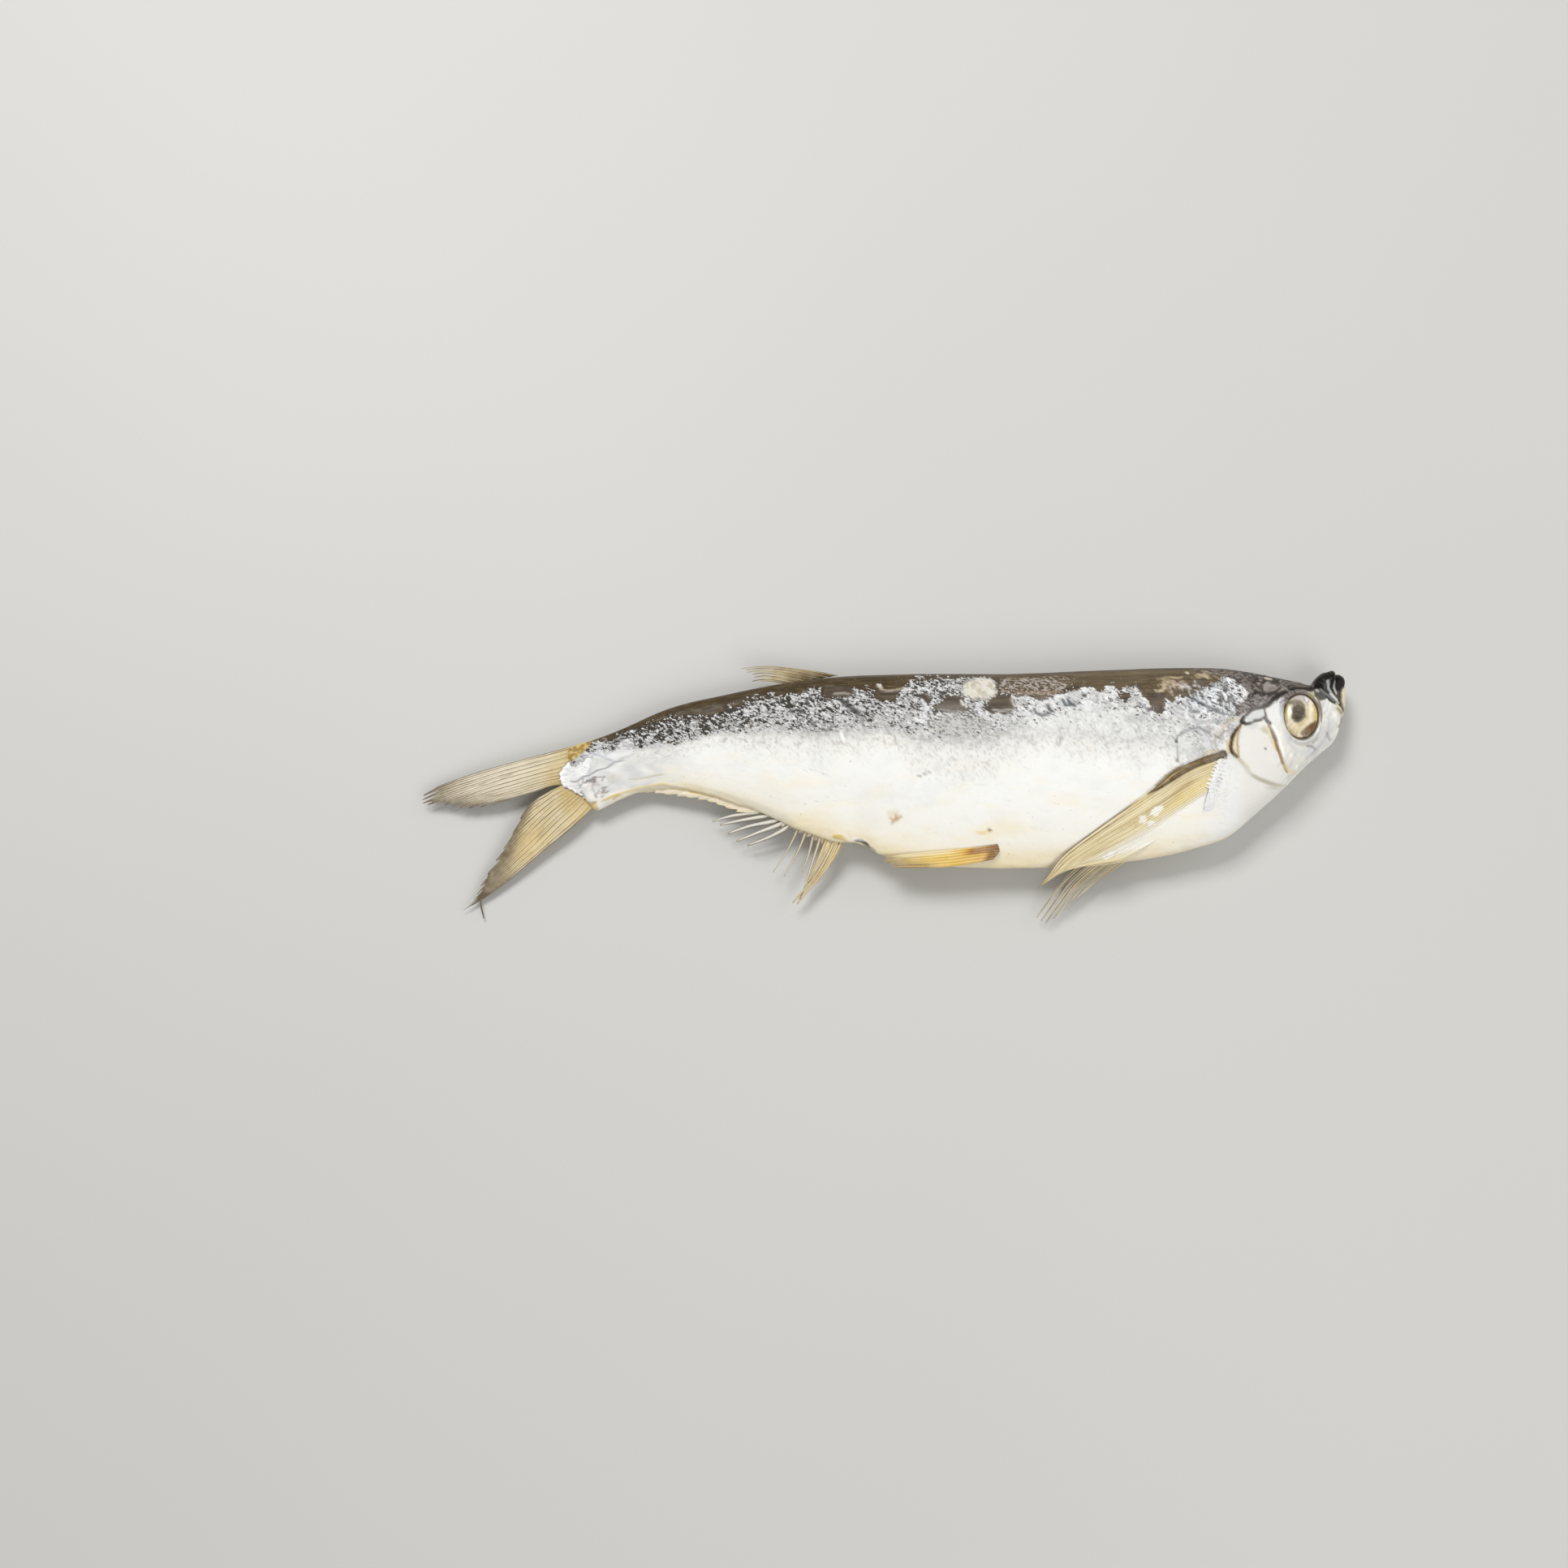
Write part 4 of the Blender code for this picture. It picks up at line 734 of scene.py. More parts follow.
# colours of the head
CHEEK, JAW, PALE_STREAK, GREY_STREAK = (231, 229, 222), (223, 221, 209), (250, 250, 248), (200, 196, 200)
SHOULDER = (240, 240, 238)
NAPE_TONES, NAPE_GROUND = ((0.0, 0.3, 0.55, 1.0), (100, 172, 224, 248)), (84, 80, 77)
SOCKET_SHADE, SOCKET_LINE = (92, 86, 80), (78, 62, 44)
SKULL_BROWN, SKULL_GREY = (78, 70, 64), (150, 143, 141)
# painted shade in the valleys of the skull's wrinkles and painted highlights on their crests
SKULL_FOLD_SHADE, SKULL_CREST_HIGHLIGHT = (52, 46, 42), (146, 139, 137)
# colours of the small marks
RING_GREY, CLUMP, CLUMP_SHADE = (136, 135, 136), (226, 222, 208), (196, 188, 170)
OCHRE, PALE_OCHRE = (164, 132, 66), (222, 194, 122)
UNDER_LINE, KEEL_EDGE = (226, 217, 190), (232, 216, 178)
# marks that lie over the others: outline, colour, strength, softness
LATE_PATCHES = (
    ([(55.8, 0.8), (57.4, 1.6), (59.0, 0.6), (58.6, -1.2), (56.6, -1.0)], (84, 66, 44), 0.9, 0.4),
    ([(34.4, -10.6), (37.6, -7.4), (41.2, -4.8), (44.6, -3.0), (43.4, -4.8), (39.8, -7.4), (36.6, -10.4)],
     (128, 106, 56), 0.7, 0.4),
    ([(-149.6, 4.8), (-148.0, 6.2), (-144.6, 8.2), (-143.8, 7.0), (-147.4, 4.4)], (112, 86, 46), 0.7, 0.5),
)


def skin_grid():
    """Points of the undisplaced skin, rows from tail to nose and columns round each section."""
    trunk = np.arange(STATION_KNOTS[0], HEAD_START, TRUNK_STEP)
    head = np.arange(HEAD_START, STATION_KNOTS[-1] - HEAD_STEP / 2, HEAD_STEP)
    rows = stations([*trunk, *head, STATION_KNOTS[-1]])
    top = np.linspace(0, math.pi, TOP_POINTS, endpoint=False)
    under = np.linspace(math.pi, 2 * math.pi, UNDER_POINTS, endpoint=False)
    turn = np.concatenate([top, under])
    share, side = (1 + np.cos(turn)) / 2, np.where(turn <= math.pi, 1.0, -1.0)
    x = rows[:, 2:3] + share * (rows[:, 0:1] - rows[:, 2:3])
    y = rows[:, 3:4] + share * (rows[:, 1:2] - rows[:, 3:4])
    z = rows[:, 5:6] + side * rows[:, 4:5] * fullness(share[None, :], rows[:, 6:7], rows[:, 7:8])
    grid = np.stack([x, y, z], axis=-1)
    tail_tip = grid[0].mean(axis=0) + np.array((-TAIL_CAP_LENGTH, -TAIL_CAP_DROP, 0.0))
    tail = cap(grid[0], tail_tip, TAIL_CAP_RINGS)[::-1]
    nose = cap(grid[-1], np.array(NOSE_TIP), NOSE_CAP_RINGS)
    return np.concatenate([tail, grid, nose]), side, share, tail_tip


def cap(ring, tip, count):
    """Rings of a rounded end, from next to the given ring towards its tip."""
    centre = ring.mean(axis=0)
    angles = np.linspace(0, math.pi / 2, count + 1)[1:-1]
    return np.array([centre + (ring - centre) * math.cos(a) + (tip - centre) * math.sin(a) for a in angles])


def grid_normals(grid):
    """Unit normals of the grid's points, facing out."""
    along = np.gradient(grid, axis=0)
    wrapped = np.concatenate([grid[:, -1:], grid, grid[:, :1]], axis=1)
    around = (wrapped[:, 2:] - wrapped[:, :-2]) / 2
    normal = np.cross(around, along)
    return normal / np.maximum(np.linalg.norm(normal, axis=-1, keepdims=True), 1e-9)


def from_ridge(grid, sides):
    """How far points are from the back ridge, along the skin."""
    steps = np.linalg.norm(np.diff(np.concatenate([grid, grid[:, :1]], axis=1), axis=1), axis=-1)
    down = np.concatenate([np.zeros((len(grid), 1)), np.cumsum(steps, axis=1)], axis=1)
    return np.where(sides > 0, down[:, :-1], down[:, -1:] - down[:, :-1])


def crinkles():
    """Random fine strokes of the fields in CRINKLES: curve, colour, half width and strength."""
    rng = np.random.RandomState(CRINKLE_SEED)
    for (u0, u1), (v0, v1), heading, spread, (short, long), count, shades in CRINKLES:
        for _ in range(count):
            at = np.array((rng.uniform(u0, u1), rng.uniform(v0, v1)))
            turn = math.radians(rng.normal(heading, spread))
            step = rng.uniform(short, long) / 3
            points = [at]
            for _ in range(3):
                at = at + step * np.array((math.cos(turn), math.sin(turn)))
                turn += rng.normal(0, 0.5)
                points.append(at)
            yield points, shades[rng.randint(len(shades))], rng.uniform(0.1, 0.24), rng.uniform(0.55, 0.9)


class Skin:
    """The skin's points and what is worked out for each: its place, masks, relief, colours and cover.

    tint is the colour where the light layer lies, ground the colour below it, and cover how much of the
    ground the layer hides. height is the relief along the normal, and calm fades the flakes under painted
    marks. mark_u and mark_v are u and v with a small wobble, which makes the edges of the marks uneven.
    """

    def __init__(self):
        self.grid, side, share, self.tail_tip = skin_grid()
        shape = self.grid.shape[:2]
        self.x, self.y = self.grid[..., 0], self.grid[..., 1]
        self.sides, self.share = np.broadcast_to(side, shape), np.broadcast_to(share, shape)
        middle = self.grid[:, :1, 2]
        raised = self.grid.copy()
        raised[..., 2] = middle + np.abs(self.grid[..., 2] - middle)
        self.u, self.v = seen(raised)
        ridge_u = np.maximum.accumulate(self.u[:, 0] + np.arange(len(self.u)) * 1e-6)
        self.drop = np.interp(self.u, ridge_u, self.v[:, 0]) - self.v
        self.arc = from_ridge(self.grid, self.sides)
        self.mark_u = self.u + MARK_WOBBLE * self.cloud(1.4, 1.4, 51, 2)
        self.mark_v = self.v + MARK_WOBBLE * self.cloud(1.4, 1.4, 53, 2)
        self.head, self.rear = smooth(self.u, 60.0, 66.0), smooth(self.u, -20.0, -58.0)
        self.trunk = 1 - self.head
        self.socket = eye_radius(self.x, self.y)[0]
        self.tint = np.broadcast_to(np.array(FLANK, float), self.grid.shape)
        self.calm = np.ones(shape)

    def cloud(self, length, height, seed, octaves=3):
        """Layered noise in the picture's u and v, in blots of about this length and height."""
        return layered(self.u / length, self.v / height, self.sides, seed, octaves)

    def blot(self, length, height, seed):
        """Plain noise in the picture's u and v."""
        return noise(self.u / length, self.v / height, self.sides, seed)

    def grain(self, length, height, seed):
        """Layered noise that follows the skin down from the back ridge."""
        return layered(self.u / length, self.arc / height, self.sides, seed)

    def ripple(self, length, height, seed):
        """Plain noise that follows the skin down from the back ridge."""
        return noise(self.u / length, self.arc / height, self.sides, seed)

    def turned(self, along, across, cos, sin, seed):
        """Layered noise along lines that lean by an angle of this cosine and sine."""
        u, v = self.u * cos + self.v * sin, self.v * cos - self.u * sin
        return layered(u / along, v / across, self.sides, seed)

    def mark(self, outline, soft):
        """1 inside an outline, 0 outside."""
        return patch(self.mark_u, self.mark_v, outline, soft)

    def wash(self, shade, share):
        """Colours the light layer."""
        self.tint = blend(self.tint, shade, share)

    def paint(self, shade, share):
        """Colours the light layer and the ground below it, which hides the flakes."""
        share = np.clip(share, 0, 1)
        self.calm = self.calm * (1 - share)
        self.tint, self.ground = blend(self.tint, shade, share), blend(self.ground, shade, share)

    def stripe(self, points, shade, half_width, strength, rise):
        """Paints a line and raises it."""
        mask = stroke(self.mark_u, self.mark_v, points, half_width)
        self.paint(shade, mask * strength)
        self.height += rise * mask


def lay_silver(skin):
    """The crinkled silver layer: its leaning flakes, where it lies and how much of the ground it covers."""
    u, v, arc, rear = skin.u, skin.v, skin.arc, skin.rear
    lean_a = u * 0.86 + arc * 0.5 + 0.8 * skin.ripple(3.0, 3.0, 61)
    lean_b = arc * 0.86 - u * 0.5 + 0.6 * skin.ripple(2.4, 2.4, 66)
    skin.big, skin.big_edge = flakes(lean_a / 3.3, lean_b / 1.9, 1)
    skin.small, skin.small_edge = flakes(lean_a / 1.25, lean_b / 1.0, 2)
    skin.wild = np.clip(smooth(u, -2.0, -16.0) + smooth(u, 44.0, 52.0), 0, 1)  # contrast of the flakes
    ragged = skin.big - 0.5 + 0.8 * (skin.small - 0.5)
    edge_v = np.interp(skin.mark_u, *zip(*SILVER_EDGE))
    fade_v = np.interp(u, *zip(*SILVER_FADE))
    skin.inside = smooth(edge_v + ragged * (0.7 + rear) - v, -0.4, 0.4)
    skin.bare = np.zeros(u.shape)
    for outline in BARE:
        spot = patch(skin.mark_u + ragged * 0.5, skin.mark_v + ragged * 0.3, outline, 0.35)
        skin.bare = np.maximum(skin.bare, spot)
    skin.nape, skin.snout = skin.mark(NAPE, 0.9), skin.mark(SNOUT, 0.35)
    skin.tail_gold, skin.clump = skin.mark(TAIL_GOLD, 0.3), skin.mark(SALT_CLUMP, 0.8)
    skin.depth = (edge_v - v) / np.maximum(edge_v - fade_v, 3.0)
    top, low = np.interp(u, *zip(*COVER_TOP)), np.interp(u, *zip(*COVER_LOW))
    cover = top + (low - top) * smooth(skin.depth, 0.0, 1.0)
    cover = cover + (0.10 + 0.26 * rear) * skin.grain(5.0, 2.6, 62)
    cover = cover + (0.06 + 0.14 * rear) * (skin.big - 0.5)
    cover = cover - (0.16 + 0.12 * rear) * smooth(skin.big_edge, 0.16, 0.0)
    skin.plain = smooth(skin.depth, 0.92, 1.4 - 0.25 * smooth(u, -120, -132))
    cover = np.clip(cover + (1.15 - cover) * skin.plain, 0, 1) * skin.inside * (1 - skin.bare)
    off_head = (1 - skin.bare) * (1 - skin.nape) * skin.trunk
    skin.flaky = skin.inside * (1 - skin.plain) * off_head
    skin.strip = (1 - skin.inside) * off_head
    skin.net = skin.strip * band(u, -17, -14, 5, 12) * smooth(skin.drop, 0.7, 2.4)
    skin.cover = np.maximum(cover, skin.net * 0.36 + skin.strip * 0.05)


def fold_nape(skin):
    """The nape's streaks, which fan out from the corner of the skull, and the folds close to it."""
    from_u, from_v = skin.u - SKULL_CORNER[0], skin.v - SKULL_CORNER[1]
    angle, away = np.arctan2(from_v, -from_u), np.hypot(from_u, from_v)
    skin.bend = skin.blot(2.6, 2.6, 63)
    skin.fan, skin.fan_edge = flakes(angle * 9.5 + 0.45 * skin.bend, away / 4.8 + 0.6 * skin.bend, 3)
    waves = np.sin(away * 2 * math.pi / 1.6 + 2.6 * skin.blot(3.2, 3.2, 64))
    skin.folds = waves * smooth(away, 9.0, 6.0)


def plate(skin, seam, rise, length, behind, before):
    """The height of a plate of the head that stands up at its seam and falls off over a length."""
    gap, side, _ = distance_to(skin.u, skin.v, seam)
    return rise * np.exp(-gap / length) * smooth(-side * gap, behind, before)


def raise_trunk(skin):
    """Relief of the flank, the silver layer, the nape and the tail's root."""
    drop, nape = skin.drop, skin.nape
    big, small, fan = skin.big - 0.5, skin.small - 0.5, skin.fan - 0.5
    h = undulation(skin.x, skin.y, skin.sides) * smooth(drop, 0.0, 4.0) * (1 - 0.6 * skin.head)
    h += skin.strip * 0.13 * skin.grain(15.0, 1.6, 31)
    h += skin.flaky * (0.18 * big + 0.13 * small - 0.15 * smooth(skin.small_edge, 0.16, 0.0))
    h += 0.12 * skin.inside * (1 - skin.plain) * skin.trunk - 0.16 * skin.bare
    h += nape * (0.1 * skin.folds + 0.2 * fan - 0.16 * smooth(skin.fan_edge, 0.2, 0.0))
    h += 0.06 * skin.cloud(2.6, 2.0, 35, 2) * smooth(drop, 8, 18) * skin.trunk
    h += smooth(skin.share, 0.10, 0.0) * 0.18 * skin.cloud(4.0, 3.0, 36) * skin.trunk
    h += skin.tail_gold * 0.22 * skin.cloud(2.2, 2.0, 38)
    h += skin.clump * (0.75 + 0.3 * skin.cloud(2.0, 2.0, 39))
    skin.height = h


def raise_head(skin):
    """Relief of the gill cover, the cheek, the eye's rim and socket, and the snout."""
    u, v = skin.u, skin.v
    lip = plate(skin, GILL_SLIT + OPERCLE_RIM[5:], LIP_STEP, 11.0, -0.5, 0.4)
    skin.height += lip * smooth(skin.share, 1.0, 0.92) * (u > 52)
    skin.height += plate(skin, CHEEK_SEAM, CHEEK_STEP, 6.0, -0.4, 0.3) * (u > 70) * smooth(v, 15, 11)
    skin.height += bump(skin.socket, 1.13, 0.09, EYE_RIM_HEIGHT)
    skin.height -= SOCKET_DEPTH * smooth(skin.socket, 1.04, 0.9)
    skin.height += skin.snout * (0.12 * skin.cloud(1.6, 2.2, 37) + 0.8 * smooth(v, 22.5, 26.0))
    skin.height += bump(u, 94.2, 1.0, 1.3) * smooth(v, 22.5, 25.0) * skin.snout
    skin.height -= 0.6 * stroke(u, v, ((90.6, 24.6), (91.6, 24.2)), 0.5, 0.5)


def colour_flank(skin):
    """The white flank: cream towards the keel, stained and clouded, with faint scales under the silver."""
    u, share, depth, trunk = skin.u, skin.share, skin.depth, skin.trunk
    low = smooth(share, 0.36, 0.04)
    skin.wash(BELLY_CREAM, low * smooth(u, 60, 44) * 0.9)
    skin.wash(STAIN, smooth(skin.cloud(16.0, 6.0, 42), 0.0, 0.5) * smooth(share, 0.6, 0.2) * trunk * 0.5)
    skin.wash(COOL, smooth(skin.cloud(9.0, 4.5, 43), 0.0, 0.5) * (1 - low) * 0.5)
    skin.wash(CREAM, smooth(skin.cloud(12.0, 6.0, 71), 0.1, 0.5) * 0.6 * trunk)
    keel = smooth(share, 0.13, 0.0) * band(u, -150, -130, 30, 50)
    skin.wash(KEEL_YELLOW, np.clip(keel * (0.65 + 0.4 * skin.cloud(12.0, 5.0, 41)), 0, 1))
    mottle = 0.75 + 0.7 * skin.blot(4.0, 2.4, 44)
    skin.wash(STALK_GREY, np.clip(smooth(u, -112, -134) * 0.85 * mottle, 0, 1))
    _, scale_edge = flakes(u / 3.4 + 0.2 * skin.bend, skin.arc / 2.9, 5)
    skin.wash(SCALE_LINE, smooth(scale_edge, 0.09, 0.03) * smooth(depth, 2.3, 1.5) * trunk * 0.45)
    under = band(depth, 0.6, 1.1, 1.2, 2.1) * trunk
    skin.wash(CREASE, under * 0.6 * (0.7 + 0.6 * skin.ripple(3.0, 2.0, 68)))
    squiggle = noise(u / 2.3 + skin.arc * 0.2, skin.arc / 1.9, skin.sides, 67)
    skin.wash(CREASE_LINE, under * line_at(squiggle, 0, 0.10, 0.02) * 0.65)


def colour_silver(skin):
    """The flakes of the silver layer, each in a tone of its own, and the net of silver on the back."""
    flaky, small_edge = skin.flaky, skin.small_edge
    tone = np.interp(0.5 * skin.big + 0.5 * skin.small, *FLAKE_TONES) - 10 * skin.rear
    tone = tone * (1 - 0.14 * smooth(small_edge, 0.2, 0.02))
    skin.wash(tone[..., None] + np.array((0.0, 0.0, -1.0)), flaky * 0.95)
    skin.wash(FLAKE_EDGE, flaky * smooth(skin.big_edge, 0.12, 0.02) * 0.5)
    skin.wash(SHEEN, flaky * (1 - skin.wild) * smooth(skin.depth, 0.3, 0.85) * 0.75)
    skin.wash(NET, skin.net)


def colour_ground(skin):
    """The dark skin that shows where the silver is broken, and the brown back."""
    shape = skin.grid.shape
    ground = blend(np.broadcast_to(DARK_FRONT, shape), DARK_REAR, smooth(skin.u, -10, -66))
    ground = ground * (1 + 0.16 * skin.grain(13.0, 1.1, 45))[..., None]
    dim = blend(np.broadcast_to(DIM_FRONT, shape), DIM_REAR, skin.rear)
    dim = dim * (1 + 0.3 * (skin.small - 0.5))[..., None]
    ground = blend(ground, dim, skin.inside * (1 - skin.bare))
    skin.wash(BACK_BROWN, skin.strip * (1 - skin.net) * 0.9)
    glossy = np.array(BARE_BROWN, float) * (1 + 0.22 * skin.grain(5.0, 0.9, 69))[..., None]
    skin.ground = blend(ground, glossy, skin.bare * skin.trunk)


def paint_back(skin):
    """The shine and the waves along the brown back, and its dark edge."""
    u, drop = skin.u, skin.drop
    shine = band(drop, 0.3, 0.8, 1.1, 1.9) * band(u, -4, 6, 48, 60)
    skin.paint(BACK_SHINE, shine * 0.5 * (0.7 + 0.6 * noise(u / 7, 0, skin.sides, 46)))
    waves = np.sin(skin.arc * 2 * math.pi / 1.9 + 2.2 * skin.ripple(6.0, 4.0, 70))
    skin.paint(BACK_WAVE, skin.strip * smooth(waves, 0.45, 0.95) * smooth(u, 8, 24) * 0.55)
    skin.paint(BACK_EDGE, skin.strip * smooth(drop, 0.7, 0.1) * smooth(u, -151, -146) * 0.6)


def colour_head(skin):
    """The pale, streaked head and the nape, with painted shade in the valleys of the nape's folds."""
    u, v, drop, head, nape = skin.u, skin.v, skin.drop, skin.head, skin.nape
    skin.paint(SHOULDER, smooth(u, 48, 60) * smooth(drop, 14, 24) * 0.7)
    skin.cover = skin.cover + (1 - skin.cover) * head
    skin.wash(CHEEK, head * smooth(drop, 6.0, 12.0))
    skin.wash(JAW, smooth(u, 75, 78) * smooth(drop, 4, 9) * smooth(v, -9, -3) * 0.9)
    streaks, streaked = skin.turned(4.0, 1.0, 0.5, 0.86, 40), head * smooth(u, 72, 77)
    skin.wash(PALE_STREAK, streaked * smooth(streaks, 0.12, 0.5) * 0.8)
    skin.wash(GREY_STREAK, streaked * smooth(streaks, -0.12, -0.5) * 0.5)
    # painted shade: the nape's tone is darker in the valleys of its folds
    tone = np.interp(skin.fan, *NAPE_TONES) - 30 * smooth(skin.folds, 0.2, -0.8)
    tone = tone * (1 - 0.42 * smooth(skin.fan_edge, 0.2, 0.0))
    share = nape * (0.45 + 0.5 * smooth(v, 8.0, 15.0)) * (1 - 0.7 * smooth(u, 60.0, 67.0))
    skin.wash(tone[..., None] + np.array((-1.5, 0.0, 2.0)), share)
    skin.ground = blend(skin.ground, NAPE_GROUND, nape)
    skin.cover = skin.cover * (1 - nape) + nape * (0.96 - 0.24 * smooth(v, 9.0, 16.0))
    skin.paint(SOCKET_SHADE, band(skin.socket, 0.9, 1.0, 1.12, 1.22) * 0.75 * smooth(v, 12, 17))


def paint_skull(skin):
    """The dark, finely wrinkled top of the head: painted shade in the wrinkles' valleys, painted highlights
    on their crests.
    """
    mask = skin.mark(SKULL, 0.5)
    skin.paint(SKULL_BROWN, mask * 0.94)
    wrinkle = skin.turned(2.8, 0.62, 0.94, 0.34, 47)
    skin.wash(SKULL_GREY, mask * 0.85)
    # painted shade in the wrinkles' valleys and painted highlights on their crests
    skin.paint(SKULL_FOLD_SHADE, mask * smooth(wrinkle, -0.1, -0.4) * 0.75)
    skin.paint(SKULL_CREST_HIGHLIGHT, mask * smooth(wrinkle, 0.12, 0.45) * smooth(skin.drop, 0.8, 2.4) * 0.8)
    skin.height += 0.12 * wrinkle * mask
    skin.cover = skin.cover * (1 - mask) + mask * (0.3 + 0.3 * skin.cloud(4.0, 2.0, 97))


def paint_marks(skin):
    """The marks of the tables, the eye's dark rim, round scales and the fine crinkles."""
    for outline, shade, strength, soft, rise in PATCHES:
        mask = skin.mark(outline, soft)
        skin.paint(shade, mask * strength)
        skin.height += rise * mask
    skin.paint(SOCKET_LINE, smooth(skin.socket, 1.09, 1.02) * 0.92)
    for (u, v), radius, strength in ROUND_SCALES:
        away = np.hypot(skin.u - u, skin.v - v) / radius
        rim = np.exp(-(((away - 1) * radius / 0.22) ** 2)) * (0.6 + 0.5 * skin.blot(2.0, 2.0, 48))
        skin.paint(RING_GREY, np.clip(rim, 0, 1) * strength * 0.7)
        skin.height += strength * (0.12 * smooth(away, 1.0, 0.9) - 0.05 * rim)
    for line in crinkles():
        skin.stripe(*line, CRINKLE_RISE)
    for line in LINES:
        skin.stripe(*line)


def paint_ends(skin):
    """The clump of salt, the golden root of the tail, the keel and the ridge of the back."""
    u, share, shape = skin.u, skin.share, skin.grid.shape
    clump = blend(np.broadcast_to(CLUMP, shape), CLUMP_SHADE, smooth(skin.small, 0.5, 0.9))
    skin.paint(clump, skin.clump * 0.92)
    under_line = smooth(share, 0.075, 0.03) * band(u, -146, -138, -88, -80)
    skin.paint(UNDER_LINE, under_line * 0.85)
    ochre = blend(np.broadcast_to(OCHRE, shape), PALE_OCHRE, smooth(skin.blot(1.3, 1.1, 49), -0.1, 0.4))
    skin.paint(ochre, skin.tail_gold * 0.95)
    for outline, shade, strength, soft in LATE_PATCHES:
        skin.paint(shade, skin.mark(outline, soft) * strength)
    skin.paint(KEEL_EDGE, smooth(share, 0.02, 0.0) * 0.6 * skin.trunk)
    skin.paint(BACK_LINE, smooth(skin.drop, 0.7, 0.1) * smooth(u, -151, -146) * skin.trunk * 0.6)


def displaced(skin):
    """The raised points. The head keeps its outline at the keel and round the nose."""
    from_nose = np.arange(len(skin.grid))[::-1, None]
    held = smooth(skin.u, 56, 64) * (1 - smooth(skin.share, 0.0, 0.12))
    height = skin.height * (1 - held) * smooth(from_nose, -1.0, 9.0)
    grid = skin.grid + grid_normals(skin.grid) * height[..., None]
    grid[..., 2] = np.maximum(grid[..., 2], 0.0)
    return grid


def with_ends(values):
    """The values of all points, then the means of the first and the last ring for the two tips."""
    ends = [values[0].mean(axis=0), values[-1].mean(axis=0)]
    return np.concatenate([values.reshape(-1, *values.shape[2:]), ends])


def make_skin():
    """The skin with everything that lies in it, from the root of the tail to the nose."""
    skin = Skin()
    lay_silver(skin)
    fold_nape(skin)
    raise_trunk(skin)
    raise_head(skin)
    colour_flank(skin)
    colour_silver(skin)
    colour_ground(skin)
    paint_back(skin)
    colour_head(skin)
    paint_skull(skin)
    paint_marks(skin)
    paint_ends(skin)
    points = np.concatenate([displaced(skin).reshape(-1, 3), [skin.tail_tip], [NOSE_TIP]])
    obj = make_object("skin", points, capped_grid(*skin.u.shape))
    colour_points(obj, with_ends(skin.tint))
    colour_points(obj, with_ends(skin.ground), "ground")
    flaky = np.clip(skin.flaky * (0.18 + 0.82 * skin.wild) + 0.15 * skin.nape, 0, 1) * skin.calm
    wet = 0.4 * skin.snout + 0.6 * skin.bare + 0.4 * skin.strip + 0.4 * skin.clump + 0.3 * skin.nape
    plain = smooth(skin.drop, 6, 16) * (1 - skin.flaky) * (1 - skin.snout)
    value_points(
        obj,
        cover=with_ends(np.clip(skin.cover, 0, 1)),
        flaky=with_ends(flaky),
        bare=with_ends(np.clip(skin.strip + skin.bare, 0, 1)),
        wet=with_ends(np.clip(wet, 0, 1)),
        plain=with_ends(plain),
    )
    return obj


# ---------------------------------------------------------------- fins: sheets and separate rays
LINE_SAMPLES = 81
TAIL_ROOT, TAIL_REACH, TAIL_HEIGHT = (-155.0, -7.0), 50.0, 5.4


def frayed_reach(a, rays, web, ragged, seed, free):
    """How far out along its lines a fin reaches at each place across: less between two rays, and ragged."""
    phase = a * rays
    peak = np.abs((phase % 1) - 0.5) * 2  # 0 on a ray, 1 between two
    chance = np.interp(phase, np.arange(rays + 2), CHANCE[seed * 5 : seed * 5 + rays + 2, 3])
    torn = (1 - web) * (0.5 + chance) * smooth(peak, 0.1, 0.95) * smooth(a, free + 0.15, free - 0.05)
    fray = ragged * chance + ragged * (0.5 + 0.5 * noise(phase * 2.7, 0.3, 0, seed))
    return np.clip(1 - torn - fray, 0.05, 1.0)


def spread(lines, a, t):
    """Points of a fin in u and v: at shares a across its lines and shares t along them."""
    fine = np.linspace(0, 1, LINE_SAMPLES)
    rows = np.array([curve(line, fine) for line in lines]).reshape(len(lines), -1)
    rows = hermite(rows, range(len(lines)), a * (len(lines) - 1)).reshape(len(a), LINE_SAMPLES, 2)
    u, v = ([np.interp(t[i], fine, rows[i, :, k]) for i in range(len(a))] for k in (0, 1))
    return np.stack([u, v], axis=-1)


def ridged(z, across, t, rays, ridge, seed):
    """The upper side of a fin: a ridge for each ray, which splits in two halfway, and some unevenness."""
    crest = 0.5 - 0.5 * np.cos(across * rays * 2 * math.pi)
    split = 0.5 - 0.5 * np.cos(across * rays * 4 * math.pi)
    split_share = smooth(t, 0.45, 0.75)
    top = z + ridge * (crest * (1 - 0.6 * split_share) + 0.5 * split * split_share) * (1 - 0.5 * t)
    return top + 0.12 * noise(across * rays * 0.9, t * 5, 0, seed + 1) * smooth(t, 0.0, 0.3)


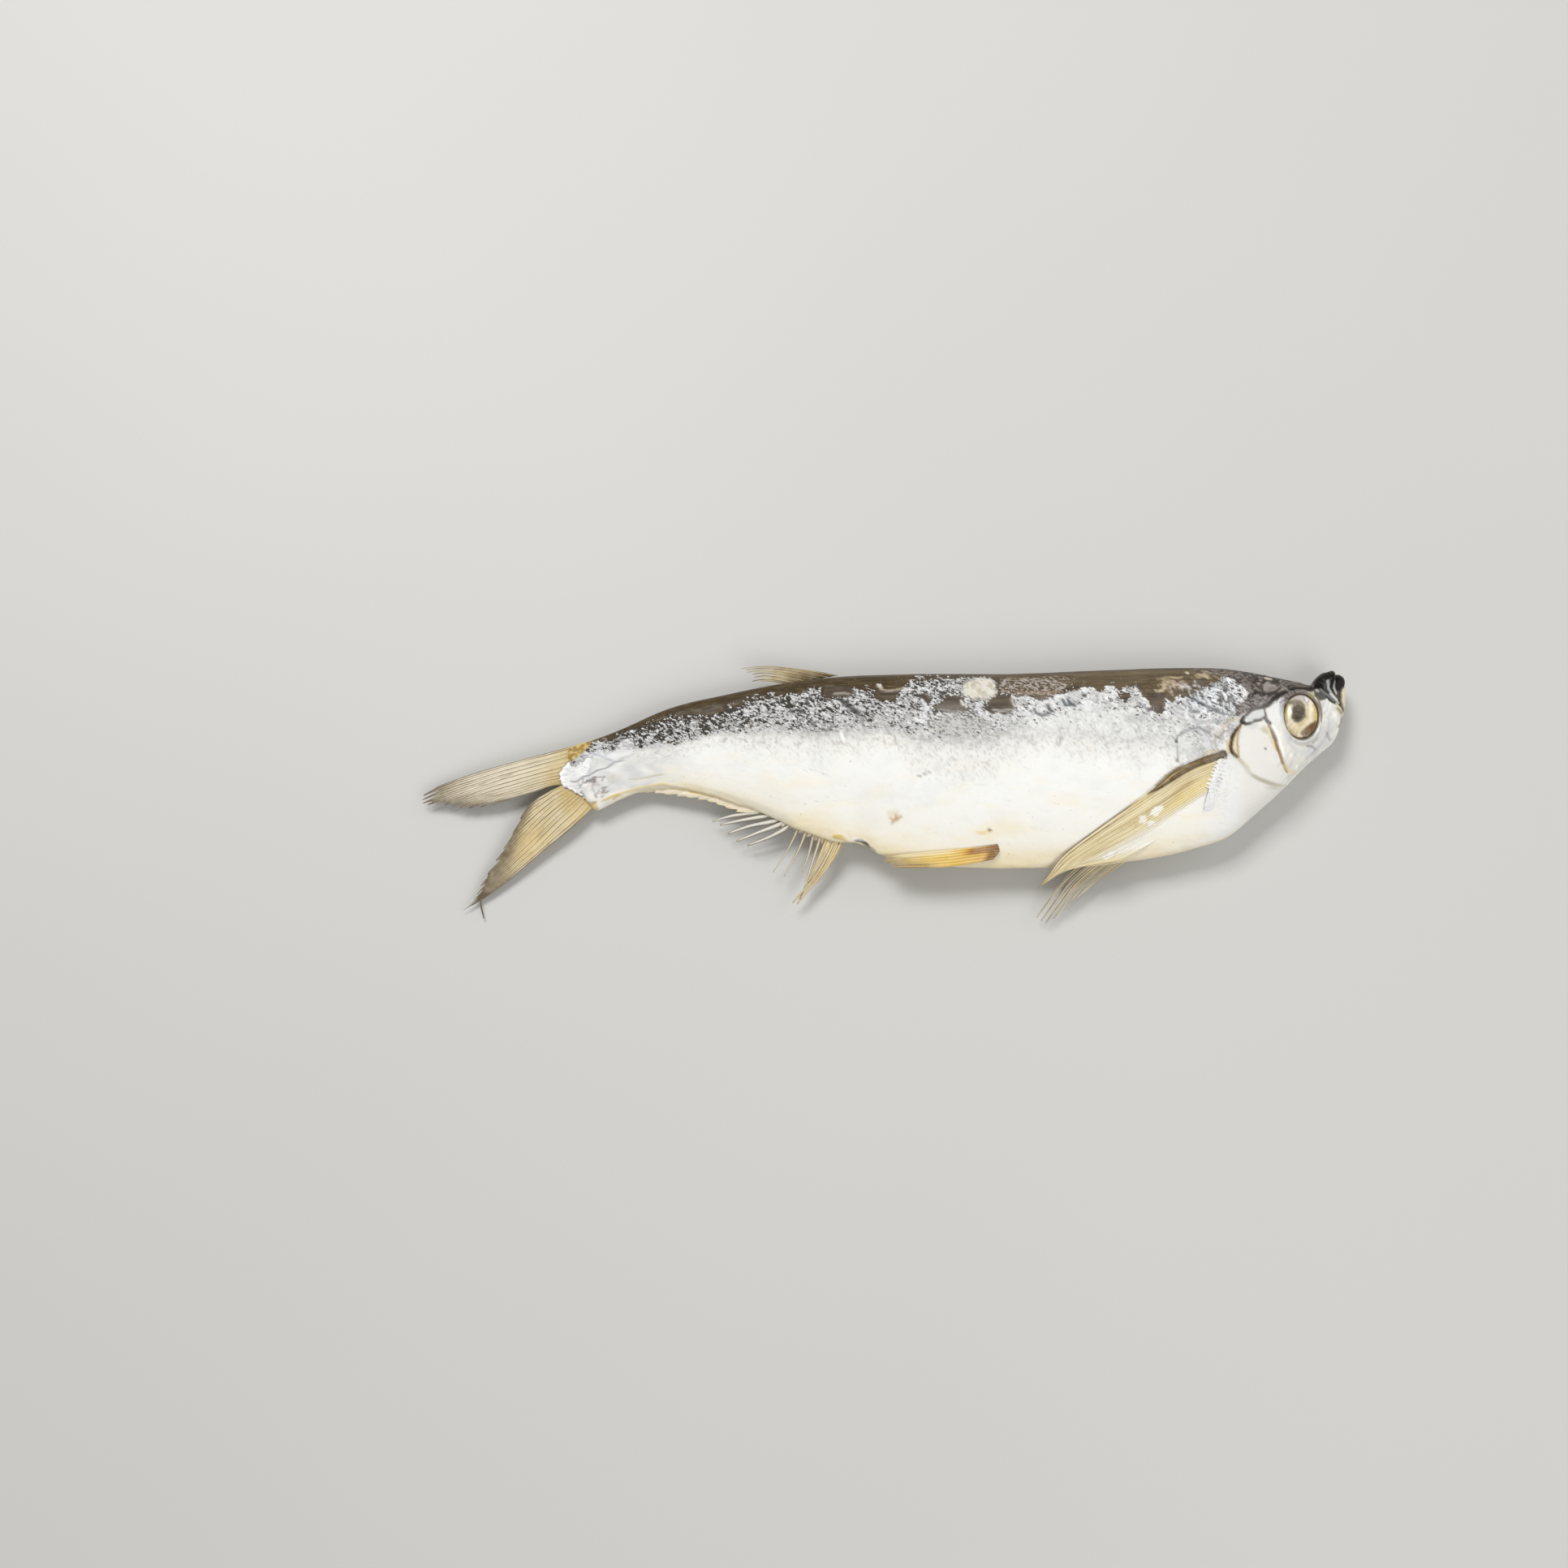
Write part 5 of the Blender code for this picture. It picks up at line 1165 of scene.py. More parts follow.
def sheet(name, lines, height, tint, size, rays, web, ridge, thickness=0.36, foot=1.0, ragged=0.03, seed=0,
          free=1.0, sink=0.0):
    """A fin as a closed thin sheet over lines that run from its root to its tip, with a frayed far edge.

    size is the count of steps across and along, web how far out the web reaches between two rays, ridge the
    height of a ray, foot how far the root runs into the body, free the share across past which the web is
    whole, and sink how much lower the far half across lies, but for its tip.
    """
    columns, rows = size
    a = np.linspace(0, 1, columns + 1)
    t = np.linspace(0, 1, rows + 1)[None, :] * frayed_reach(a, rays, web, ragged, seed, free)[:, None]
    path = spread(lines, a, t)
    back = path[:, 0] - path[:, 2]
    path[:, 0] += foot * back / np.linalg.norm(back, axis=1)[:, None]
    x, y, z = raise_path(path[..., 0], path[..., 1], t, height)
    across = np.broadcast_to(a[:, None], t.shape)
    top = ridged(z, across, t, rays, ridge, seed)
    top = np.maximum(top - sink * smooth(across, 0.5, 0.95) * smooth(t, 1.0, 0.85), 0.25)
    rim = smooth(np.minimum(across, 1 - across) * rays, 0.0, 0.5)
    low = np.maximum(top - thickness * (0.35 + 0.65 * rim) * (1 - 0.5 * t), 0.02)
    return thin_solid(name, x, y, top, low, tint(across, t, path[..., 0], path[..., 1]))


def tubes(name, rays, height, tint, flat=0.6, samples=22, around=8):
    """Separate tapered rays: each a curve of u, v points and its widths at root, middle and tip."""
    points, faces, colours = [], [], []
    turn = np.linspace(0, 2 * math.pi, around, endpoint=False)
    t = np.linspace(0, 1, samples)
    for number, (line, widths) in enumerate(rays):
        path = curve(line, t)
        width = np.interp(t, (0, 0.4, 1), widths)[:, None] / 2
        tangent = np.gradient(path, axis=0)
        tangent /= np.linalg.norm(tangent, axis=1)[:, None]
        u = path[:, :1] - tangent[:, 1:] * np.cos(turn) * width
        v = path[:, 1:] + tangent[:, :1] * np.cos(turn) * width
        own_height = partial(height, number=number)
        middle = raise_path(path[:, 0], path[:, 1], t, own_height)[2][:, None]
        x, y = placed(u, v, middle)
        z = np.maximum(middle + np.sin(turn) * width * flat, 0.05)
        base = len(points)
        points += list(np.stack([x, y, z], -1).reshape(-1, 3))
        faces += closed_grid(samples, around, base)
        faces += [tuple(base + k for k in reversed(range(around)))]
        faces += [tuple(base + (samples - 1) * around + k for k in range(around))]
        rim = np.abs(np.cos(turn)) * np.ones((samples, 1))
        colours.append(tint(t[:, None] * np.ones(around), rim, number))
    obj = make_object(name, points, faces)
    colour_points(obj, np.concatenate([c.reshape(-1, 3) for c in colours]))
    return obj


def tail_height(droop, curl):
    """A lobe of the tail sinks and curls away from its root."""

    def height(x, y, share, number=0):
        away = np.hypot(np.minimum(x - TAIL_ROOT[0], 0), y - TAIL_ROOT[1]) / TAIL_REACH
        curled = curl * away * np.sin(away * 5.0 + y * 0.12)
        return TAIL_HEIGHT - droop * away**1.3 + curled - 0.5 * (number > 0)

    return height


def paired_height(side, lift, plane_height=FAR, plane_slope=0.0):
    """A paired fin lies on its flank and, past the keel, no higher than a plane that slopes outwards."""

    def height(x, y, share):
        row, across = section_of(x, y)
        flank = flank_height(x, y, side) + side * undulation(x, y, side) * smooth(across, 0.0, 0.2)
        plane = plane_height - plane_slope * (row[:, 3] - y)
        return np.minimum(flank + side * (lift + 0.2 * share), plane)

    return height


def mid_height(droop):
    """A fin in the body's middle plane, sinking towards its tip."""

    def height(x, y, share, number=0):
        return section_of(x, y)[0][:, 5] - droop * share + 0.25 * math.sin(2.7 * number) * share

    return height


# ---------------------------------------------------------------- fins: lines in u and v, from root to tip
PECTORAL_RIGHT = (
    ((57.5, -0.3), (46.0, -4.2), (35.0, -11.0), (25.0, -17.9), (14.5, -25.4), (4.5, -33.1),
     (-0.8, -39.9), (-5.0, -45.0)),
    ((54.6, -6.0), (45.0, -11.0), (35.0, -17.5), (25.0, -23.5), (15.0, -29.5), (7.0, -35.0),
     (2.0, -39.5), (-3.2, -43.6)),
    ((52.5, -12.0), (45.0, -16.5), (37.0, -21.5), (30.0, -26.0), (22.0, -30.6), (15.0, -34.5),
     (10.0, -36.4), (5.5, -38.6)),
    ((50.2, -18.5), (47.0, -20.5), (43.0, -22.8), (39.0, -25.3), (35.0, -28.0), (31.0, -30.5),
     (26.0, -33.3), (20.0, -35.9)),
)
PECTORAL_SPINE = (
    ((57.6, 1.2), (52.0, -0.4), (48.0, -2.0), (44.0, -3.8), (41.0, -5.5), (38.0, -8.2), (35.0, -10.8),
     (32.4, -12.8)),
    ((57.0, -1.3), (50.6, -3.4), (46.6, -5.1), (43.2, -7.2), (40.0, -9.2), (37.4, -10.8), (34.6, -12.2),
     (32.2, -13.2)),
)
PECTORAL_LEFT = (
    ((57.0, -1.0), (45.0, -8.0), (33.0, -17.0), (22.0, -26.0), (12.0, -34.0), (4.0, -41.0),
     (-1.0, -47.0), (-6.5, -54.4)),
    ((54.0, -7.0), (44.0, -14.0), (34.0, -21.5), (25.0, -28.5), (16.0, -35.5), (8.0, -42.0),
     (2.0, -49.5), (-2.9, -56.2)),
    ((52.0, -12.0), (44.0, -18.0), (36.0, -24.0), (28.0, -30.0), (20.0, -36.0), (13.0, -41.5),
     (7.5, -47.0), (3.4, -52.4)),
    ((50.0, -18.0), (45.0, -21.0), (40.0, -24.5), (34.0, -28.3), (29.0, -32.0), (23.5, -36.2),
     (16.0, -41.5), (7.8, -47.4)),
)
TAIL_UPPER = (
    ((-150.0, 4.6), (-160.0, 1.6), (-170.0, -1.2), (-180.0, -4.0), (-190.0, -7.2), (-198.0, -10.3),
     (-204.8, -13.8)),
    ((-153.0, 0.0), (-163.0, -3.0), (-173.0, -5.8), (-182.0, -8.6), (-190.0, -11.4), (-197.5, -14.2),
     (-204.2, -16.9)),
    ((-156.0, -5.0), (-165.0, -7.2), (-173.0, -9.6), (-180.0, -11.8), (-186.5, -13.9), (-192.0, -15.6),
     (-197.2, -17.0)),
    ((-157.0, -8.0), (-165.0, -9.8), (-171.5, -11.8), (-177.0, -13.4), (-182.0, -15.0), (-186.0, -16.5),
     (-190.0, -18.4)),
    ((-157.5, -9.8), (-162.0, -10.6), (-166.0, -12.0), (-169.5, -13.2), (-172.5, -14.0), (-175.0, -14.9),
     (-178.4, -16.4)),
)
TAIL_LOWER = (
    ((-157.4, -9.8), (-161.0, -11.4), (-163.6, -12.8), (-166.0, -14.4), (-168.4, -16.4),
     (-170.6, -18.6)),
    ((-156.0, -11.6), (-161.0, -14.6), (-165.0, -17.8), (-169.0, -21.2), (-172.6, -25.0),
     (-175.6, -29.2)),
    ((-154.8, -12.8), (-160.5, -17.4), (-166.0, -22.6), (-171.0, -28.0), (-176.0, -33.4),
     (-181.2, -38.0)),
    ((-153.2, -14.0), (-160.0, -20.2), (-166.5, -26.8), (-173.0, -33.2), (-179.0, -39.4),
     (-185.0, -45.8)),
    ((-151.0, -15.0), (-158.5, -22.4), (-166.0, -30.0), (-173.5, -37.2), (-181.0, -44.2),
     (-187.6, -50.2)),
    ((-147.2, -16.6), (-155.0, -24.6), (-163.0, -31.3), (-172.0, -39.4), (-181.0, -46.6),
     (-191.6, -53.2)),
)
PELVIC_RIGHT = (
    ((-17.8, -29.9), (-24.0, -30.8), (-31.0, -31.5), (-38.0, -32.2), (-46.0, -33.0), (-55.4, -34.0)),
    ((-17.4, -32.4), (-25.0, -33.2), (-32.0, -34.2), (-39.0, -34.8), (-46.0, -35.2), (-54.0, -35.9)),
    ((-19.4, -35.0), (-26.0, -36.3), (-33.0, -37.2), (-39.0, -37.5), (-45.0, -37.6), (-50.8, -37.5)),
)
PELVIC_LEFT = (
    ((-18.6, -29.0), (-28.0, -29.2), (-40.0, -30.2), (-50.6, -31.0)),
    ((-18.0, -31.2), (-28.0, -31.4), (-40.0, -32.2), (-51.6, -32.6)),
    ((-18.6, -33.4), (-27.0, -34.0), (-37.0, -34.4), (-46.4, -34.4)),
)
DORSAL = (
    ((-71.0, 27.6), (-75.0, 28.4), (-84.0, 29.7), (-92.0, 30.3), (-103.0, 29.5)),
    ((-76.5, 26.6), (-82.0, 27.6), (-88.0, 28.7), (-94.0, 29.0), (-100.2, 28.3)),
    ((-79.0, 25.4), (-84.0, 26.3), (-89.0, 27.1), (-93.0, 27.3), (-97.0, 26.8)),
    ((-84.0, 24.0), (-88.0, 24.5), (-91.0, 25.0), (-94.0, 24.9), (-97.4, 24.2)),
)
ANAL_WEB = (
    ((-67.6, -28.0), (-68.4, -29.2), (-69.2, -30.4), (-70.2, -31.8)),
    ((-76.0, -25.6), (-76.5, -26.4), (-77.0, -27.2), (-77.6, -28.2)),
    ((-85.0, -22.0), (-85.5, -22.5), (-86.0, -23.0), (-86.6, -23.6)),
    ((-93.6, -17.4), (-94.1, -17.8), (-94.6, -18.2), (-95.2, -18.6)),
)
ANAL_FRONT_WEB = (
    ((-71.8, -26.4), (-72.8, -29.6), (-76.6, -38.7), (-81.2, -47.6)),
    ((-69.4, -26.8), (-70.4, -30.2), (-75.2, -39.4), (-82.4, -48.6)),
    ((-66.8, -27.6), (-67.4, -30.6), (-72.2, -38.7), (-81.6, -49.0)),
)
ANAL_REAR = (
    ((-90.0, -19.0), (-93.0, -19.0), (-97.0, -19.4), (-100.6, -19.8)),
    ((-101.0, -14.8), (-104.0, -15.2), (-107.0, -15.6), (-110.0, -16.0)),
    ((-112.0, -11.8), (-115.0, -12.6), (-118.0, -13.4), (-120.8, -14.0)),
    ((-124.0, -9.2), (-126.6, -10.6), (-129.2, -11.9), (-131.6, -12.9)),
    ((-134.6, -10.4), (-136.4, -11.9), (-138.0, -13.2), (-139.6, -14.4)),
    ((-140.6, -13.0), (-142.2, -14.4), (-143.8, -15.8), (-145.6, -17.0)),
)
# separate rays: line, and widths at root, middle and tip
ANAL_MIDDLE = (
    (((-91.0, -17.2), (-94.0, -19.0), (-102.7, -20.4), (-109.2, -22.2)), (1.3, 1.8, 0.5)),
    (((-88.4, -18.4), (-91.0, -20.2), (-99.9, -21.9), (-106.8, -23.4)), (1.2, 1.7, 0.6)),
    (((-86.4, -19.6), (-88.8, -22.0), (-97.1, -23.8), (-104.2, -26.3)), (1.2, 1.8, 0.7)),
    (((-84.8, -20.6), (-87.2, -23.1), (-94.3, -25.9), (-101.4, -28.8)), (1.3, 1.8, 0.6)),
    (((-83.4, -21.6), (-85.4, -24.4), (-90.7, -27.4), (-97.8, -30.2)), (1.3, 1.7, 0.7)),
    (((-85.0, -22.6), (-86.4, -23.4), (-87.4, -23.6), (-88.8, -23.4)), (1.0, 2.0, 1.2)),
)
ANAL_FRONT = (
    (((-81.0, -22.2), (-81.9, -25.5), (-84.8, -31.6), (-89.6, -39.0)), (0.9, 0.8, 0.3)),
    (((-78.8, -23.6), (-79.4, -27.0), (-82.2, -33.6), (-86.0, -40.4)), (1.0, 0.9, 0.3)),
    (((-76.2, -24.8), (-76.8, -28.2), (-78.4, -34.4), (-80.2, -39.0)), (1.0, 0.9, 0.4)),
    (((-73.8, -25.6), (-74.7, -29.0), (-77.3, -37.2), (-79.6, -44.8)), (1.1, 1.0, 0.4)),
    (((-71.8, -26.4), (-72.8, -29.6), (-76.6, -38.7), (-81.0, -47.8)), (1.2, 1.0, 0.4)),
    (((-69.4, -26.8), (-70.4, -30.2), (-75.2, -39.4), (-83.2, -49.0)), (1.6, 1.1, 0.4)),
    (((-67.4, -27.4), (-68.2, -30.6), (-73.0, -38.7), (-81.8, -49.4)), (1.7, 1.2, 0.4)),
)
STRAY_RAY = ((((-181.2, -40.0), (-183.4, -48.1), (-182.3, -54.1)), (0.5, 0.6, 0.35)),)
# outlines of scales of skin that lie on the right pectoral fin
PECTORAL_SCALES = (
    [(29.3, -20.0), (30.3, -20.6), (31.2, -19.6), (31.9, -21.4), (31.2, -23.6), (30.2, -22.8),
     (29.2, -23.2)],
    [(31.6, -22.4), (33.0, -21.6), (34.2, -22.2), (35.0, -23.6), (33.4, -23.6), (32.2, -24.6)],
    [(32.6, -20.2), (33.0, -18.6), (34.6, -17.2), (36.8, -16.9), (37.8, -18.2), (36.2, -19.2),
     (35.2, -20.8)],
    [(16.4, -34.4), (19.2, -32.0), (21.6, -31.6), (20.6, -33.8), (18.1, -35.0)],
)


# ---------------------------------------------------------------- fins: colours, at a across and t along
def ray_tint(base, middle, tip, line, rays, seed, strength=0.75, glow=(240, 228, 190)):
    """Colours of a fin: base to tip, with dark and light lines along its rays, which split halfway."""

    def tint(a, t, u, v):
        ramp = coats(base, (middle, smooth(t, 0.0, 0.5)), (tip, smooth(t, 0.55, 0.98)))
        colour = ramp * (1 + 0.11 * layered(a * rays * 2.2, t * 3.0, 0, seed))[..., None]
        wobble = 0.13 * noise(a * rays * 0.5, t * 4.0, 0, seed + 2)
        first = np.abs(((a * rays + wobble) % 1) - 0.5) * 2
        second = np.abs(((a * rays * 2 + 0.5 + wobble) % 1) - 0.5) * 2
        change = 0.6 + 0.5 * noise(a * rays * 1.1, t * 2.2, 0, seed + 3)
        light = line_at(first, 0.45, 0.22, 0.05) * 0.7 * (1 - 0.8 * smooth(t, 0.6, 0.95))
        dark = smooth(first, 0.38, 0.10) * change
        fine = smooth(second, 0.42, 0.1) * smooth(t, 0.35, 0.6) * change * 0.7
        lines = np.clip(np.maximum(dark, fine), 0, 1) * strength
        return coats(colour, (glow, np.clip(light, 0, 1)), (line, lines))

    return tint


PECTORAL_RAYS = ray_tint((202, 186, 142), (230, 215, 164), (214, 198, 152), (146, 110, 58), 20, 7, 0.5)
LEFT_PECTORAL_RAYS = ray_tint((214, 196, 152), (218, 206, 172), (212, 202, 178), (98, 76, 44), 7, 11, 0.9)
PELVIC_RAYS = ray_tint((222, 172, 70), (234, 196, 90), (166, 148, 112), (188, 138, 50), 6, 13, 0.5,
                       glow=(246, 220, 146))
DORSAL_RAYS = ray_tint((100, 82, 50), (188, 170, 130), (208, 192, 154), (58, 44, 26), 6, 15, 1.0,
                       glow=(226, 212, 174))
ANAL_RAYS = ray_tint((236, 212, 150), (214, 202, 172), (190, 180, 156), (140, 118, 80), 9, 17, 0.5)
ANAL_FRONT_RAYS = ray_tint((240, 222, 172), (238, 228, 200), (226, 206, 158), (136, 100, 46), 5, 21, 0.9)
ANAL_REAR_RAYS = ray_tint((236, 226, 204), (238, 228, 208), (224, 212, 182), (190, 168, 126), 16, 19, 0.4)
TAIL_LINE, TAIL_GLOW = (84, 68, 44), (242, 234, 212)


def pectoral_tint(a, t, u, v):
    """Golden near the root and whiter towards the lower edge, with lines at the upper edge and scales."""
    dark_lines = line_at(noise(a * 34, t * 1.4, 0, 91), 0, 0.12, 0.02)
    pale_lines = line_at(noise(a * 30, t * 1.2, 0, 94), 0, 0.14, 0.03)
    upper_tip = smooth(t, 0.95, 1.0) * smooth(a, 0.6, 0.4)
    lower_tip = smooth(t, 0.955, 0.985) * smooth(a, 0.5, 0.7)
    colour = coats(
        PECTORAL_RAYS(a, t, u, v),
        ((232, 212, 140), band(a, 0.2, 0.5, 0.6, 0.8) * smooth(t, 0.42, 0.12) * 0.75),
        ((246, 236, 198), pale_lines * 0.6),
        ((132, 98, 48), dark_lines * smooth(a, 0.75, 0.35) * smooth(t, 0.06, 0.16) * 0.75),
        ((244, 241, 230), smooth(a, 0.48, 0.8) * smooth(t, 1.0, 0.6)),
        ((90, 68, 40), smooth(a, 0.04, 0.02) * smooth(t, 0.34, 0.46) * 0.9),
        ((240, 229, 192), line_at(a, 0.07, 0.03, 0.01) * smooth(t, 0.36, 0.5) * 0.85),
        ((104, 78, 46), line_at(a, 0.115, 0.022, 0.008) * smooth(t, 0.38, 0.5) * 0.8),
        ((136, 114, 78), np.maximum(upper_tip * 0.5, lower_tip * 0.85)),
    )
    for outline in PECTORAL_SCALES:
        mask = patch(u, v, outline, 0.5)
        rim = np.clip(mask * 4 * (1 - mask), 0, 1)
        scale = smooth(mask, 0.4, 0.9) * 0.9
        colour = coats(colour, ((196, 178, 138), rim * 0.25), ((247, 245, 236), scale))
    return colour


def spine_tint(a, t, u, v):
    """The brown leading ray of the right pectoral fin, with a pale painted highlight along it and painted
    shade at its edges.
    """
    return coats(
        (92, 68, 26),
        ((134, 106, 54), smooth(layered(a * 4.0, t * 6.0, 0, 92), 0.0, 0.4)),
        # painted highlight along the middle of the ray
        ((212, 186, 128), line_at(a, 0.42, 0.12, 0.03) * smooth(t, 0.3, 0.6) * 0.8),
        # painted shade along its upper and lower edges
        ((84, 62, 30), smooth(a, 0.22, 0.05) * smooth(t, 0.75, 0.6) * 0.7),
        ((78, 56, 28), smooth(a, 0.7, 0.9) * 0.9),
        ((72, 56, 38), smooth(t, 0.12, 0.03) * 0.9),
        ((206, 184, 138), smooth(t, 0.9, 1.0) * 0.6),
    )


def pectoral_left_tint(a, t, u, v):
    """Pale horn with a dark leading edge towards the tip."""
    edge = smooth(a, 0.05, 0.015) * smooth(t, 0.5, 0.6)
    return coats(LEFT_PECTORAL_RAYS(a, t, u, v), ((98, 78, 50), edge * 0.8))


def pelvic_tint(a, t, u, v):
    """Yellow, with a reddish root, a cream upper half and a grey lower tip."""
    return coats(
        PELVIC_RAYS(a, t, u, v),
        ((243, 228, 184), smooth(a, 0.45, 0.1) * band(t, 0.25, 0.5, 0.8, 1.0) * 0.85),
        ((150, 130, 100), smooth(a, 0.62, 0.9) * smooth(t, 0.45, 0.7) * 0.85),
        ((226, 178, 82), line_at(a, 0.9, 0.05, 0.015) * smooth(t, 0.5, 0.7) * 0.7),
        ((160, 106, 50), line_at(a, 0.3, 0.3, 0.1) * smooth(t, 0.32, 0.2) * 0.85),
        ((96, 76, 48), smooth(a, 0.06, 0.01) * smooth(t, 0.26, 0.16) * 0.85),
        ((128, 92, 50), smooth(t, 0.1, 0.03) * 0.8),
    )


def tail_tint(base, middle, tip, seed, rays):
    """A lobe of the tail: grained, dark at its edges and its tip, ochre at its root."""
    inner = ray_tint(base, middle, tip, TAIL_LINE, rays, seed, 1.0, TAIL_GLOW)

    def tint(a, t, u, v):
        grain = layered(a * rays * 1.2, t * 9.0, 0, seed + 5)
        rim = np.maximum(smooth(a, 0.03, 0.005), smooth(a, 0.97, 0.995))
        ochre = smooth(t, 0.2, 0.08) * (0.75 + 0.5 * noise(u / 1.1, v / 1.1, 0, seed + 6))
        return coats(
            inner(a, t, u, v),
            ((150, 136, 110), smooth(grain, 0.15, 0.5) * smooth(t, 0.1, 0.5) * 0.5),
            ((90, 76, 54), rim * smooth(t, 0.02, 0.15) * 0.8),
            ((100, 88, 66), smooth(t, 0.75, 0.98) * 0.5),
            ((196, 168, 100), np.clip(ochre, 0, 1) * 0.6),
        )

    return tint


TAIL_UPPER_TINT = tail_tint((214, 199, 160), (216, 206, 182), (122, 108, 86), 3, 11)
TAIL_LOWER_RAYS = tail_tint((212, 192, 142), (206, 187, 140), (112, 98, 72), 9, 10)


def tail_lower_tint(a, t, u, v):
    """The lower lobe, with a golden spot and a dark outer half."""
    gold = np.exp(-(((u + 169.0) / 6.0) ** 2) - ((v + 29.0) / 6.0) ** 2)
    return coats(
        TAIL_LOWER_RAYS(a, t, u, v),
        ((220, 186, 112), gold * 0.45),
        ((104, 90, 64), smooth(t, 0.5, 0.85) * 0.8),
        ((84, 68, 46), smooth(a, 0.84, 0.97) * smooth(t, 0.6, 0.85) * 0.8),
    )


def anal_rear_tint(a, t, u, v):
    """Pale, with gold at the roots of most rays and along the far edge."""
    gold = smooth(t, 0.5, 0.3) * smooth(noise(a * 20, 0, 0, 93), -0.7, -0.1)
    edge = smooth(t, 0.86, 0.98)
    return coats(ANAL_REAR_RAYS(a, t, u, v), ((216, 178, 92), gold), ((200, 166, 92), edge * 0.6))


def bone_tint(t, rim, number):
    """Pale, thick rays with dark sides."""
    return coats(
        (206, 190, 156),
        ((240, 237, 228), smooth(t, 0.1, 0.4)),
        ((78, 66, 50), smooth(rim, 0.5, 0.9) * 0.9),
        ((170, 156, 130), smooth(t, 0.9, 1.0) * 0.6),
    )


def straw_tint(t, rim, number):
    """Thin rays, the last ones more yellow, the first five greyer at the root."""
    root, tip = ((234, 208, 140), (226, 206, 156)) if number > 3 else ((214, 202, 178), (226, 222, 212))
    colour = blend(root, tip, t)
    if number < 5:
        colour = blend(colour, (150, 138, 116), smooth(t, 0.3, 0.08) * 0.6)
    return blend(colour, (112, 86, 44), smooth(rim, 0.5, 0.9) * 0.8)


def dark_tint(t, rim, number):
    """Brown, darker towards the tip."""
    return blend((112, 96, 74), (84, 70, 52), t)


# ---------------------------------------------------------------- fins: the pieces
def make_tail():
    """Both lobes of the tail and a loose ray beside the lower one."""
    lower_height = tail_height(3.4, 0.4)
    return [
        sheet("tail_upper", TAIL_UPPER, tail_height(2.6, 0.3), TAIL_UPPER_TINT, size=(176, 90), rays=11,
              web=0.90, ridge=0.3, foot=4.0, ragged=0.03, seed=3),
        sheet("tail_lower", TAIL_LOWER, lower_height, tail_lower_tint, size=(160, 96), rays=10, web=0.93,
              ridge=0.3, foot=4.0, ragged=0.03, seed=4),
        tubes("tail_stray_ray", STRAY_RAY, lower_height, dark_tint),
    ]


def make_pectorals():
    """The right pectoral fin with its thick leading ray, and the left one, which shows past the keel."""
    return [
        sheet("pectoral_right", PECTORAL_RIGHT, paired_height(RIGHT, 0.42), pectoral_tint,
              size=(180, 90), rays=20, web=0.985, ridge=0.16, thickness=0.4, ragged=0.01, seed=5, sink=1.1),
        sheet("pectoral_spine", PECTORAL_SPINE, paired_height(RIGHT, 0.75), spine_tint,
              size=(24, 90), rays=1, web=1.0, ridge=0.55, thickness=1.1, ragged=0.0, seed=12),
        sheet("pectoral_left", PECTORAL_LEFT, paired_height(LEFT, 0.2, 5.9, 0.16), pectoral_left_tint,
              size=(132, 90), rays=7, web=0.6, ridge=0.3, ragged=0.02, seed=6, free=0.72),
    ]


def make_pelvics():
    """The small fins at the belly."""
    return [
        sheet("pelvic_right", PELVIC_RIGHT, paired_height(RIGHT, 0.4), pelvic_tint, size=(72, 60), rays=6,
              web=0.93, ridge=0.2, thickness=0.4, ragged=0.02, seed=7),
        sheet("pelvic_left", PELVIC_LEFT, paired_height(LEFT, 0.2), pelvic_tint, size=(60, 60), rays=5,
              web=0.93, ridge=0.2, thickness=0.4, ragged=0.02, seed=8),
    ]


def make_dorsal():
    """The small fin on the rear of the back."""
    return sheet("dorsal", DORSAL, mid_height(0.3), DORSAL_RAYS, size=(84, 60), rays=6, web=0.62, ridge=0.3,
                 foot=3.0, ragged=0.06, seed=9)


def make_anal():
    """The long fin behind the vent, in stretches: long thin rays, thick bare rays and a low web."""
    return [
        sheet("anal_web", ANAL_WEB, mid_height(2.0), ANAL_RAYS, size=(108, 24), rays=9, web=0.85,
              ridge=0.15, thickness=0.25, foot=3.0, ragged=0.06, seed=10),
        sheet("anal_front_web", ANAL_FRONT_WEB, mid_height(4.3), ANAL_FRONT_RAYS, size=(48, 60), rays=5,
              web=0.6, ridge=0.2, thickness=0.3, foot=3.0, ragged=0.04, seed=13),
        tubes("anal_middle_rays", ANAL_MIDDLE, mid_height(2.6), bone_tint, flat=0.45),
        tubes("anal_front_rays", ANAL_FRONT, mid_height(4.0), straw_tint, flat=0.45),
        sheet("anal_rear", ANAL_REAR, mid_height(1.0), anal_rear_tint, size=(128, 24), rays=16, web=0.85,
              ridge=0.15, thickness=0.3, foot=2.6, ragged=0.04, seed=11),
    ]


# ---------------------------------------------------------------- loose ends of the skin over two fin roots
FLAP_COLUMNS, TAIL_SKIN_COLUMNS, FLAP_ROWS = 281, 181, 25
